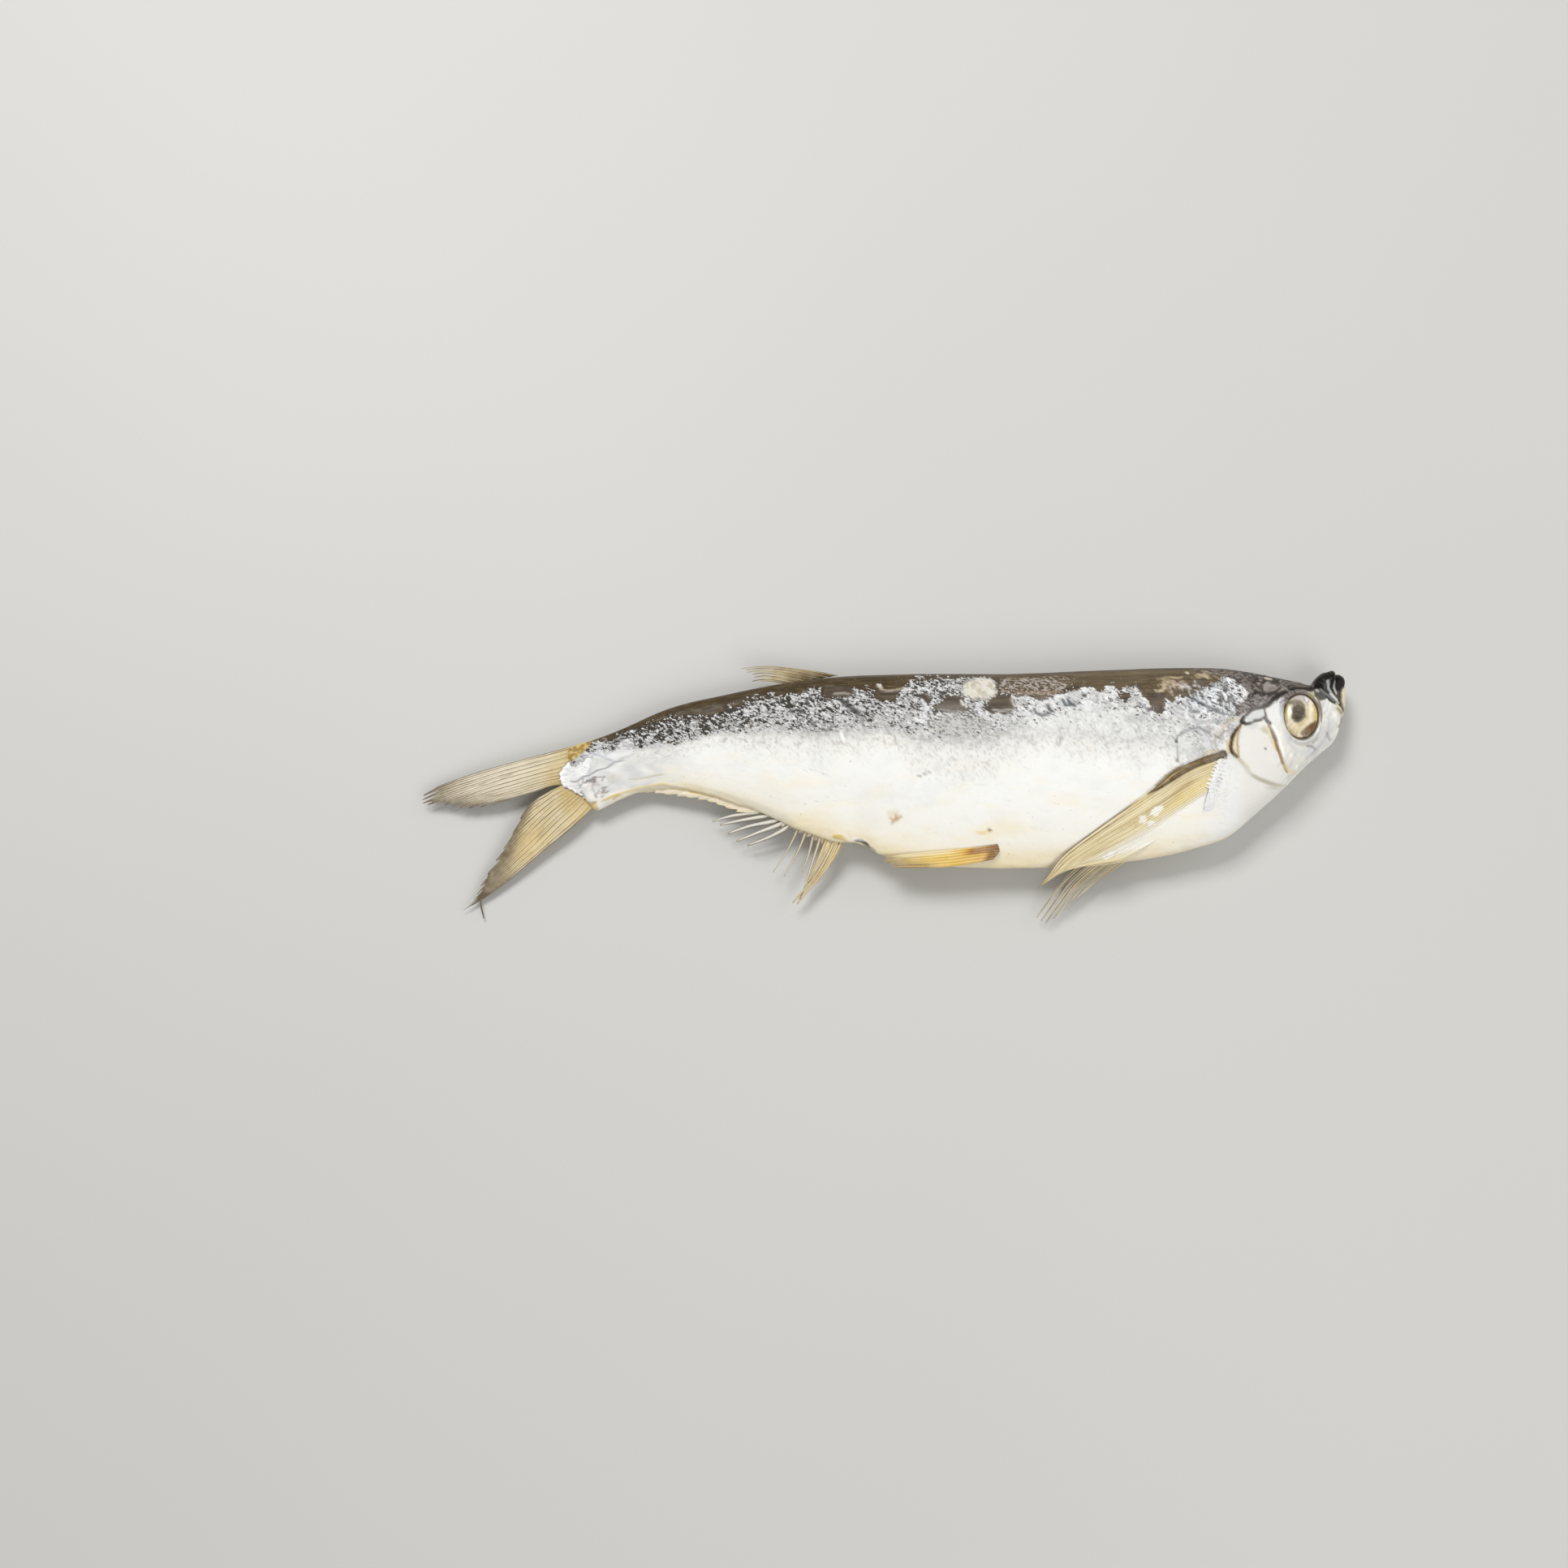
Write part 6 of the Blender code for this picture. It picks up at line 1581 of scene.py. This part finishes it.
# outer and inner line of each, in u and v
FLAP_OUTER = (
    (57.4, -0.4), (56.1, -2.2), (55.3, -4.6), (54.4, -7.0), (53.2, -9.6), (52.0, -12.6), (51.2, -15.2),
    (50.2, -18.2), (49.2, -21.0),
)
FLAP_INNER = (
    (59.0, -0.8), (60.5, -3.2), (60.7, -6.2), (60.0, -9.0), (59.0, -12.0), (57.6, -15.0), (56.4, -17.6),
    (54.6, -20.4), (52.6, -22.8),
)
TAIL_SKIN_OUTER = (
    (-150.6, 1.6), (-152.4, 0.2), (-155.2, -2.0), (-158.2, -4.6), (-159.0, -8.0), (-158.2, -10.0),
    (-155.6, -11.6), (-153.2, -13.0), (-150.8, -14.6), (-148.6, -15.8),
)
TAIL_SKIN_INNER = (
    (-146.6, -0.6), (-146.2, -1.6), (-146.0, -2.8), (-146.0, -4.4), (-146.0, -6.4), (-145.8, -8.2),
    (-145.4, -9.8), (-145.0, -11.2), (-144.6, -12.6), (-144.2, -13.8),
)


def flap_colours(u, v, shares):
    """White skin with a clear edge, cool clouds, creases and the marks that run across it."""
    cloud = smooth(layered(u / 3.0, v / 2.0, 0, 73), 0.0, 0.5)
    crease = line_at(noise(u / 2.2 + 5, v / 1.4, 0, 76), 0, 0.08, 0.02)
    colour = coats(
        (240, 240, 237),
        ((250, 250, 249), smooth(shares, 0.85, 0.97)),
        ((226, 227, 230), cloud * 0.5),
        ((178, 180, 186), crease * smooth(shares, 0.15, 0.35) * 0.6),
    )
    for points, shade, half_width, strength in [*crinkles(), *(line[:4] for line in LINES)]:
        colour = blend(colour, shade, stroke(u, v, points, half_width) * strength)
    return colour


def skin_edge(name, inner, outer, reach, height, rise):
    """A thin flap of the white skin from an inner line, hidden under the surface, to a ragged outer one."""
    a = np.linspace(0, 1, len(reach))
    start, end = curve(inner, a), curve(outer, a)
    along = end - start
    along += reach[:, None] * along / np.linalg.norm(along, axis=1)[:, None]
    t = np.linspace(0, 1, FLAP_ROWS)
    path = start[:, None] + t[:, None] * along[:, None]
    shares = np.broadcast_to(t, path.shape[:2])
    x, y, z = raise_path(path[..., 0], path[..., 1], shares, height)
    top = z + rise(a[:, None], shares)
    low = top - 0.25 - 0.6 * smooth(shares, 0.9, 0.4)
    colour = flap_colours(path[..., 0], path[..., 1], shares)
    obj = thin_solid(name, x, y, top, low, colour)
    colour_points(obj, np.concatenate([colour.reshape(-1, 3)] * 2), "ground")
    value_points(obj, plain=np.full(len(obj.data.vertices), 0.4))
    return obj


def make_flap():
    """The skin's toothed edge over the root of the right pectoral fin."""
    a = np.linspace(0, 1, FLAP_COLUMNS)
    saw = (a * 17 + 0.35 * noise(a * 11, 0.2, 0, 72)) % 1
    teeth = 2.4 * np.abs(saw - 0.25) ** 0.9 + 0.25 * noise(a * 24, 0.5, 0, 71)
    reach = band(a, 0.0, 0.06, 0.56, 0.62) * teeth

    def rise(across, t):
        lifted = 1.05 * smooth(t, 0.1, 0.9) - 0.12 * smooth(t, 0.92, 1.0)
        return -0.45 + lifted * smooth(across, 1.0, 0.75)

    return skin_edge("pectoral_skin_edge", FLAP_INNER, FLAP_OUTER, reach, paired_height(RIGHT, 0.0), rise)


def make_tail_skin():
    """The white skin's ragged end over the root of the tail fin."""
    a = np.linspace(0, 1, TAIL_SKIN_COLUMNS)
    reach = 0.5 * noise(a * 26, 0.4, 0, 74) + 0.5 * np.abs((a * 15) % 1 - 0.4)

    def height(x, y, share):
        away = smooth(share, 0.45, 1.0)
        body = flank_height(np.maximum(x, -149.0), y, RIGHT) + undulation(x, y, RIGHT) * 0.5
        return np.maximum(body * (1 - away) + 5.95 * away, 5.75)

    def rise(across, t):
        return -0.3 + 0.44 * smooth(t, 0.0, 0.6) + 0.14 * layered(across * 7.0, t * 3.0, 0, 75)

    return skin_edge("tail_skin_end", TAIL_SKIN_INNER, TAIL_SKIN_OUTER, reach, height, rise)


# ---------------------------------------------------------------- eyes and salt
EYE_ROWS, EYE_COLUMNS = 64, 128
CRUMB_ROWS, CRUMB_COLUMNS = 9, 16
IRIS, PALE_IRIS = (206, 190, 150), (228, 214, 184)
RIM_BACK, RIM_FRONT, RIM_LOWER = (150, 142, 146), (104, 84, 48), (52, 37, 22)
# outline in u and v, colour, strength, softness
IRIS_MARKS = (
    ([(78.2, 15.6), (78.6, 17.4), (79.8, 18.4), (80.2, 15.0), (79.6, 11.8), (78.6, 12.4)],
     (205, 194, 122), 0.8, 0.4),
    ([(79.6, 16.4), (80.6, 15.6), (80.4, 12.6), (79.8, 10.8), (79.2, 12.6)], (244, 238, 216), 0.8, 0.3),
    ([(87.6, 18.8), (89.4, 17.4), (90.0, 14.8), (89.4, 11.8), (88.2, 11.6), (88.0, 15.6)],
     (215, 190, 120), 0.85, 0.45),
    ([(86.2, 19.6), (87.6, 18.8), (87.8, 15.0), (87.2, 11.4), (86.0, 11.0), (86.4, 15.0)],
     (240, 230, 204), 0.8, 0.5),
    ([(80.2, 9.6), (82.6, 9.4), (85.2, 10.4), (84.6, 8.2), (81.6, 7.4)], (228, 214, 176), 0.7, 0.5),
    ([(83.2, 7.0), (84.6, 8.8), (86.4, 10.2), (88.4, 11.6), (89.4, 10.6), (88.2, 8.6), (86.2, 7.0),
      (84.2, 6.0)], (98, 66, 28), 0.9, 0.5),
    # painted highlight: a lilac-grey crescent along the top of the eye
    ([(79.6, 18.2), (80.6, 19.8), (83.0, 20.7), (86.0, 20.5), (87.0, 18.6), (86.4, 16.6), (85.2, 18.0),
      (83.2, 19.0), (81.0, 18.7)], (194, 188, 188), 0.9, 0.35),
    ([(80.9, 14.0), (80.3, 12.4), (81.2, 11.3), (82.5, 10.8), (84.0, 11.3), (85.3, 12.9), (85.6, 15.0),
      (85.2, 17.0), (84.2, 18.4), (82.5, 18.8), (80.6, 18.3), (79.7, 17.6), (80.6, 16.0)],
     (128, 117, 100), 0.97, 0.28),
    ([(81.2, 14.2), (80.7, 12.6), (81.5, 11.7), (82.6, 11.3), (83.8, 11.8), (84.8, 13.2), (85.0, 15.0),
      (84.4, 16.4), (82.8, 16.8), (81.2, 16.2)], (70, 62, 44), 0.95, 0.4),
    ([(81.6, 13.4), (82.4, 12.2), (83.6, 12.6), (84.0, 14.2), (82.8, 14.8)], (58, 50, 36), 0.7, 0.5),
    # painted highlight: a white glint
    ([(85.2, 20.2), (86.0, 20.0), (86.5, 18.2), (85.9, 18.2)], (246, 246, 244), 0.85, 0.25),
)


def globe(rows, columns):
    """A unit ball: rows of points from its top to its bottom, then its two poles."""
    polar = np.linspace(0, math.pi, rows + 2)[1:-1][:, None]
    turn = np.linspace(0, 2 * math.pi, columns, endpoint=False)[None, :]
    ball = [np.sin(polar) * np.cos(turn), np.sin(polar) * np.sin(turn), np.cos(polar) * np.ones_like(turn)]
    return np.concatenate([np.stack(ball, -1).reshape(-1, 3), [(0, 0, 1), (0, 0, -1)]])


def eye_shape(side):
    """Points of a flattened, dented globe that leans with its flank, domed on its outer side."""
    ball = globe(EYE_ROWS, EYE_COLUMNS)
    a, b, c = ball[:, 0] * EYE_HALF_WIDTH, ball[:, 1] * EYE_HALF_HEIGHT, ball[:, 2] * EYE_DOME
    dent = 0.10 * noise(a / 2.6, b / 2.6, side, 81) + 0.03 * noise(a / 0.8, b / 0.8, side, 86)
    dent = dent - 0.25 * np.exp(-((a / 2.2) ** 2 + ((b - 1) / 3.4) ** 2))
    dent[-2:] = 0
    c = side * (c + (c > 0) * dent)
    ex, ey = np.array([EYE_CENTRE[0]]), np.array([EYE_CENTRE[1]])
    tilt = math.atan((flank_height(ex, ey + 1, side) - flank_height(ex, ey - 1, side))[0] / 2)
    cos, sin = math.cos(EYE_LEAN), math.sin(EYE_LEAN)
    x, y = a * cos - b * sin, a * sin + b * cos
    y, z = y * math.cos(tilt) - c * math.sin(tilt), y * math.sin(tilt) + c * math.cos(tilt)
    height = flank_height(ex, ey, side)[0] - side * (EYE_DOME - EYE_PROUD)
    return np.stack([x + ex[0], y + ey[0], z + height], -1)


def eye_colours(points, side):
    """The iris, the pupil and their marks, painted highlights among them, with a dark rim."""
    raised = points.copy()
    if side == LEFT:
        middle = section_of(np.array([EYE_CENTRE[0]]), np.array([EYE_CENTRE[1]]))[0][0, 5]
        raised[:, 2] = 2 * middle - points[:, 2]
    u, v = seen(raised)
    mark_u = u + 0.2 * noise(u / 1.5, v / 1.5, side, 82)
    mark_v = v + 0.2 * noise(u / 1.5, v / 1.5, side, 83)
    r, around = eye_radius(points[:, 0], points[:, 1])
    colour = blend(IRIS, PALE_IRIS, smooth(noise(u / 2, v / 3, side, 84), -0.1, 0.3))
    for outline, shade, strength, soft in IRIS_MARKS:
        colour = blend(colour, shade, patch(mark_u, mark_v, outline, soft) * strength)
    colour = colour * (1 + 0.08 * noise(around * 14, r * 2.0, side, 85) * smooth(r, 0.35, 0.6))[:, None]
    lower, front = smooth(v, 12, 6), smooth(u, 85, 89)
    rim = coats(RIM_BACK, (RIM_FRONT, front), (RIM_LOWER, lower))
    strength = 0.5 + 0.45 * np.maximum(lower, front)
    return blend(colour, rim, smooth(r, 0.93 - 0.05 * lower, 0.985) * strength)


def make_eye(name, side):
    """A flattened, wrinkled globe in the socket."""
    points = eye_shape(side)
    faces = capped_grid(EYE_ROWS, EYE_COLUMNS)
    obj = make_object(name, points, flipped(faces) if side == RIGHT else faces)
    colour_points(obj, eye_colours(points, side))
    return obj


# extra crystals in the clump of salt and beside it
SALT_SPOTS = [
    (-21.7, 17.2), (-19.0, 17.3), (-15.7, 13.5), (-21.3, 13.7), (-26.3, 17.3), (-54.4, 23.1), (-26, 16.4),
]
SCATTERED, SALT_SEED = 200, 5
CUBE = [(i, j, k) for i in (-1, 1) for j in (-1, 1) for k in (-1, 1)]
CUBE_FACES = ((0, 1, 3, 2), (4, 6, 7, 5), (0, 4, 5, 1), (2, 3, 7, 6), (0, 2, 6, 4), (1, 5, 7, 3))


def make_salt():
    """Salt crystals caught in the crinkled back and along the edges of the silver layer."""
    rng = np.random.RandomState(SALT_SEED)
    points, faces = [], []
    spots = []
    for u in rng.uniform(-142, 60, SCATTERED):
        spots.append((u, np.interp(u, *zip(*SILVER_EDGE)) + 1.0 - abs(rng.normal(0, 3.6))))
    spots = np.array(spots + SALT_SPOTS * 2)
    spots = spots + rng.normal(0, 0.25, (len(spots), 2))
    x, y, z = raise_path(spots[:, 0], spots[:, 1], np.zeros(len(spots)), paired_height(RIGHT, 0.12))
    for number, at in enumerate(np.stack([x, y, z], 1)):
        turn, _ = np.linalg.qr(rng.normal(size=(3, 3)))
        turn[:, 0] *= np.sign(np.linalg.det(turn))
        size = rng.uniform(0.1, 0.26) * (1.5 if number >= SCATTERED else 1.0)
        block = np.array(CUBE, float) * size * rng.uniform(0.6, 1.2, 3) * rng.uniform(0.8, 1.2, (8, 3))
        base = len(points)
        points += list(block @ turn.T + at)
        faces += [tuple(base + k for k in face) for face in CUBE_FACES]
    obj = make_object("salt_crystals", points, faces)
    obj.data.shade_flat()
    return obj


def make_crumbs():
    """Small lumps of caked salt on the back."""
    points, faces = [], []
    ball = globe(CRUMB_ROWS, CRUMB_COLUMNS)
    height = paired_height(RIGHT, 0.1)
    for number, (u, v, size) in enumerate(CRUMBS):
        at = np.array(raise_path(np.array([u]), np.array([v]), np.zeros(1), height))[:, 0]
        rough = 1 + 0.35 * noise(ball[:, 0] * 1.6, ball[:, 1] * 1.6, ball[:, 2] * 1.6 + number * 3.1, 95)
        faces += flipped(capped_grid(CRUMB_ROWS, CRUMB_COLUMNS, len(points)))
        points += list(ball * rough[:, None] * (size * 0.5, size * 0.42, size * 0.3) + at)
    return make_object("salt_crumbs", points, faces)


# ---------------------------------------------------------------- materials
class Material:
    """A Principled surface with short ways to add nodes."""

    def __init__(self, name, **sockets):
        self.data = bpy.data.materials.new(name)
        self.data.use_nodes = True
        self.tree = self.data.node_tree
        self.surface = self.tree.nodes["Principled BSDF"]
        self.place = self.add("TexCoord", "Object")
        self.finish(**sockets)

    def put(self, socket, value):
        """Links another node's output, or sets a colour or a number."""
        if hasattr(value, "is_output"):
            self.tree.links.new(value, socket)
        elif socket.type == "RGBA" and len(value) == 3:
            socket.default_value = (*linear(value), 1.0)
        else:
            socket.default_value = value

    def add(self, kind, output=0, inputs=None, **settings):
        """Adds a node and returns one of its outputs."""
        node = self.tree.nodes.new("ShaderNode" + kind)
        for key, value in settings.items():
            setattr(node, key, value)
        for key, value in (inputs or {}).items():
            self.put(node.inputs[key], value)
        return node.outputs[output]

    def attribute(self, name, output="Fac"):
        return self.add("Attribute", output, attribute_name=name)

    def math(self, kind, a, b=0.0, c=0.0):
        return self.add("Math", 0, {0: a, 1: b, 2: c}, operation=kind)

    def mix(self, share, a, b):
        """From a to b by a share."""
        return self.add("Mix", 2, {0: share, 6: a, 7: b}, data_type="RGBA", blend_type="MIX")

    def over(self, colour, shade, share, more):
        """A colour with a shade laid over it by the product of two shares."""
        return self.mix(self.math("MULTIPLY", share, more), colour, shade)

    def step(self, value, low, high, to_low=0.0, to_high=1.0):
        """A soft step from to_low below low to to_high above high; low may be the larger."""
        if low > high:
            low, high, to_low, to_high = high, low, to_high, to_low
        inputs = {0: value, 1: low, 2: high, 3: to_low, 4: to_high}
        return self.add("MapRange", 0, inputs, interpolation_type="SMOOTHSTEP")

    def noise(self, scale, detail=3.0, roughness=0.55, distortion=0.0, vector=None):
        inputs = {"Vector": self.place if vector is None else vector, "Scale": scale, "Detail": detail}
        inputs.update({"Roughness": roughness, "Distortion": distortion})
        return self.add("TexNoise", "Fac", inputs)

    def stretched(self, scale, turn=0.0):
        """The object's coordinates, turned about z and scaled on each axis."""
        turned = self.add("Mapping", 0, {"Vector": self.place, "Rotation": (0, 0, math.radians(turn))})
        return self.add("Mapping", 0, {"Vector": turned, "Scale": scale})

    def voronoi(self, vector, scale, feature, output):
        return self.add("TexVoronoi", output, {"Vector": vector, "Scale": scale}, feature=feature)

    def bump(self, height, distance, strength, normal=None):
        inputs = {"Height": height, "Distance": distance, "Strength": strength}
        if normal is not None:
            inputs["Normal"] = normal
        return self.add("Bump", 0, inputs)

    def finish(self, **sockets):
        """Fills the surface's sockets, each named in small letters, and returns the material."""
        for socket, value in sockets.items():
            self.put(self.surface.inputs[socket.replace("_", " ").title().replace("Ior", "IOR")], value)
        return self.data


def silver_cells(m):
    """Leaning strokes and small cells of the silver layer: the strokes, each cell's chance and its edge."""
    warp = m.noise(520.0, 2.0)
    shift = m.add("CombineXYZ", 0, {0: m.math("MULTIPLY", warp, 2.2), 1: warp})
    bent = m.add("VectorMath", 0, {0: m.stretched((1000, 1000, 1000), 32), 1: shift})
    cells = m.add("VectorMath", 0, {0: bent, 1: (0.8, 1.6, 1.2)}, operation="MULTIPLY")
    strokes = m.step(m.noise(1.0, 3.0, 0.55, 0.6, vector=cells), 0.27, 0.73)
    chance = m.add("SeparateColor", 0, {0: m.voronoi(cells, 1.15, "F1", "Color")})
    return strokes, chance, m.voronoi(cells, 1.15, "DISTANCE_TO_EDGE", "Distance")


def silvered(m, strokes, chance, edge):
    """The tint with the silver's fine flakes and painted highlights on it, and where it shows above the
    dark ground.
    """
    flaky = m.attribute("flaky")
    pattern = m.math("ADD", m.math("MULTIPLY", strokes, 0.62), m.math("MULTIPLY", chance, 0.38))
    cover = m.math("MULTIPLY_ADD", m.attribute("cover"), 1.15, -0.05)
    shown = m.step(m.math("ADD", m.step(pattern, 0.14, 0.86), cover), 0.95, 1.08)
    light = m.attribute("tint", "Color")
    light = m.over(light, (168, 166, 164), flaky, m.step(chance, 0.0, 1.0, 0.55, 0.0))
    # painted highlight: near-white on the crests of the strokes
    light = m.over(light, (248, 249, 249), flaky, m.step(strokes, 0.6, 0.95, 0.0, 0.7))
    light = m.over(light, (104, 102, 100), flaky, m.step(edge, 0.09, 0.02, 0.0, 0.45))
    relief = m.math("ADD", m.math("MULTIPLY", shown, flaky), m.math("MULTIPLY", strokes, flaky))
    return m.mix(shown, m.attribute("ground", "Color"), light), relief


def mottled(m, colour):
    """The plain flank: faint mottling, hairlines and specks."""
    plain = m.attribute("plain")
    colour = m.over(colour, (250, 249, 245), plain, m.step(m.noise(95.0, 4.0, 0.6), 0.35, 0.75, 0.0, 0.3))
    hairs = m.noise(1.0, 2.0, 0.5, 2.5, vector=m.stretched((160, 900, 500), 20))
    hair = m.math("MULTIPLY", m.step(hairs, 0.30, 0.27), plain)
    colour = m.over(colour, (190, 184, 172), hair, 0.4)
    return m.over(colour, (150, 136, 112), m.step(m.noise(900.0, 1.0), 0.225, 0.195), 0.5)


def streaked(m, colour):
    """The brown back: fine lengthwise streaks."""
    bare = m.attribute("bare")
    streaks = m.noise(1.0, 3.0, 0.6, vector=m.stretched((90, 1300, 1300)))
    colour = m.over(colour, (142, 126, 100), bare, m.step(streaks, 0.45, 0.7, 0.0, 0.24))
    return m.over(colour, (50, 41, 30), bare, m.step(streaks, 0.45, 0.3, 0.0, 0.3))


def skin_material():
    """Dry salted skin: silver and brown on the back, where it is a little glossier, plain on the flank."""
    m = Material("skin_salted", coat_weight=0.03, coat_roughness=0.3, specular_ior_level=0.18)
    colour, relief = silvered(m, *silver_cells(m))
    colour = streaked(m, mottled(m, colour))
    dry = m.step(m.noise(300.0), 0.3, 0.7, 0.40, 0.58)
    rough = m.math("ADD", dry, m.math("MULTIPLY", m.attribute("wet"), -0.2))
    normal = m.bump(m.noise(640.0, 4.0, 0.6), 0.00008, 0.6, m.bump(relief, 0.00022, 0.8))
    return m.finish(base_color=colour, roughness=rough, normal=normal)


def fin_material():
    """Dried, horn-like rays and webs."""
    m = Material("fin_horn", coat_weight=0.06, coat_roughness=0.3, specular_ior_level=0.28)
    cloud = m.step(m.noise(260.0, 4.0, 0.6), 0.35, 0.75, 0.0, 0.22)
    specks = m.step(m.noise(1100.0, 2.0), 0.33, 0.26, 0.0, 0.4)
    colour = m.mix(specks, m.mix(cloud, m.attribute("tint", "Color"), (238, 228, 204)), (110, 90, 62))
    rough = m.step(m.noise(420.0), 0.3, 0.7, 0.38, 0.58)
    return m.finish(base_color=colour, roughness=rough, normal=m.bump(m.noise(800.0, 4.0), 0.0001, 0.6))


def eye_material():
    """The dried but still glossy eye."""
    m = Material("eye_dried", coat_weight=0.45, coat_roughness=0.14, specular_ior_level=0.45)
    grain = m.noise(700.0)
    colour = m.mix(m.step(grain, 0.4, 0.75, 0.0, 0.1), m.attribute("tint", "Color"), (244, 236, 214))
    rough = m.step(m.noise(350.0, 2.0), 0.3, 0.7, 0.22, 0.42)
    return m.finish(base_color=colour, roughness=rough, normal=m.bump(grain, 0.0001, 0.7))


def salt_material():
    """Cloudy crystals that let a little light through."""
    m = Material("salt_crystal", roughness=0.28, specular_ior_level=0.6, transmission_weight=0.25)
    cloud = m.noise(900.0, 2.0)
    colour = m.mix(cloud, (236, 238, 240), (255, 255, 255))
    return m.finish(base_color=colour, normal=m.bump(cloud, 0.0001, 0.5))


def floor_material():
    """A pale, matt surface."""
    m = Material("floor_pale", roughness=0.6)
    return m.finish(base_color=m.mix(m.noise(3.0, 2.0), (202, 201, 197), (208, 207, 203)))


# ---------------------------------------------------------------- staging
# name, place, size and power of each lamp, and where they point
LAMPS = (
    ("key", (-0.45, 0.75, 1.15), 0.55, 12.6),
    ("fill", (0.6, -0.9, 1.1), 1.0, 9.0),
    ("side", (1.1, 0.5, 0.7), 0.7, 3.2),
)
LAMPS_AIM = Vector((-0.03, 0, 0))
SKY_COLOUR, SKY_STRENGTH = (1.0, 0.995, 0.98, 1.0), 0.30


def make_camera():
    """The picture's camera, above the fish and tilted towards its back."""
    camera = bpy.data.cameras.new("camera")
    camera.sensor_width = SENSOR_WIDTH
    camera.lens = CAMERA_LENS
    camera.clip_start, camera.clip_end = 0.01, 20.0
    viewer = bpy.data.objects.new("camera", camera)
    bpy.context.scene.collection.objects.link(viewer)
    viewer.location = Vector(CAMERA_AT * MM)
    viewer.rotation_euler = (CAMERA_TILT, 0.0, 0.0)
    bpy.context.scene.camera = viewer


def make_floor():
    """A wide floor just under the fish."""
    ends = ((-1, -1), (1, -1), (1, 1), (-1, 1))
    points = [(i * FLOOR_HALF, j * FLOOR_HALF, FLOOR_HEIGHT) for i, j in ends]
    floor = make_object("floor", points, [(0, 1, 2, 3)])
    floor.data.materials.append(floor_material())


def make_lamps():
    """Square lamps that all point at the fish."""
    for name, place, size, power in LAMPS:
        light = bpy.data.lights.new(name, "AREA")
        light.shape = "SQUARE"
        light.size = size
        light.energy = power
        lamp = bpy.data.objects.new(name, light)
        lamp.location = place
        lamp.rotation_euler = (LAMPS_AIM - lamp.location).to_track_quat("-Z", "Y").to_euler()
        bpy.context.scene.collection.objects.link(lamp)


def make_sky():
    """Faint even light, and plain view settings."""
    scene = bpy.context.scene
    world = bpy.data.worlds.new("studio")
    world.use_nodes = True
    sky = world.node_tree.nodes["Background"]
    sky.inputs["Color"].default_value = SKY_COLOUR
    sky.inputs["Strength"].default_value = SKY_STRENGTH
    scene.world = world
    scene.view_settings.view_transform = "Standard"
    scene.view_settings.look = "None"


def dress(pieces, material):
    """Gives all pieces one material."""
    for piece in pieces:
        piece.data.materials.append(material)


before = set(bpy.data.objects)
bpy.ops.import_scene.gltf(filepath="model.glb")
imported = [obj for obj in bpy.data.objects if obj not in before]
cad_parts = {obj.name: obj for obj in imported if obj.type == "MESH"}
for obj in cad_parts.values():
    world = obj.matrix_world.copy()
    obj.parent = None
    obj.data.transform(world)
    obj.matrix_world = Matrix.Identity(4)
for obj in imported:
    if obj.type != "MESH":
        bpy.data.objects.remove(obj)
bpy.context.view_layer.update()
make_camera()
make_floor()
make_lamps()
make_sky()
skin = make_skin()
fins = [*make_tail(), *make_pectorals(), *make_pelvics(), make_dorsal(), *make_anal()]
flaps = [make_flap(), make_tail_skin()]
eyes = [make_eye("eye_right", RIGHT), make_eye("eye_left", LEFT)]
salt = [make_salt(), make_crumbs()]
dress([skin, *flaps], skin_material())
dress(fins, fin_material())
dress(eyes, eye_material())
dress(salt, salt_material())
for piece in [skin, *fins, *flaps, *eyes, *salt]:
    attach(piece, "root")
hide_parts("sabrefish")

bpy.context.view_layer.update()
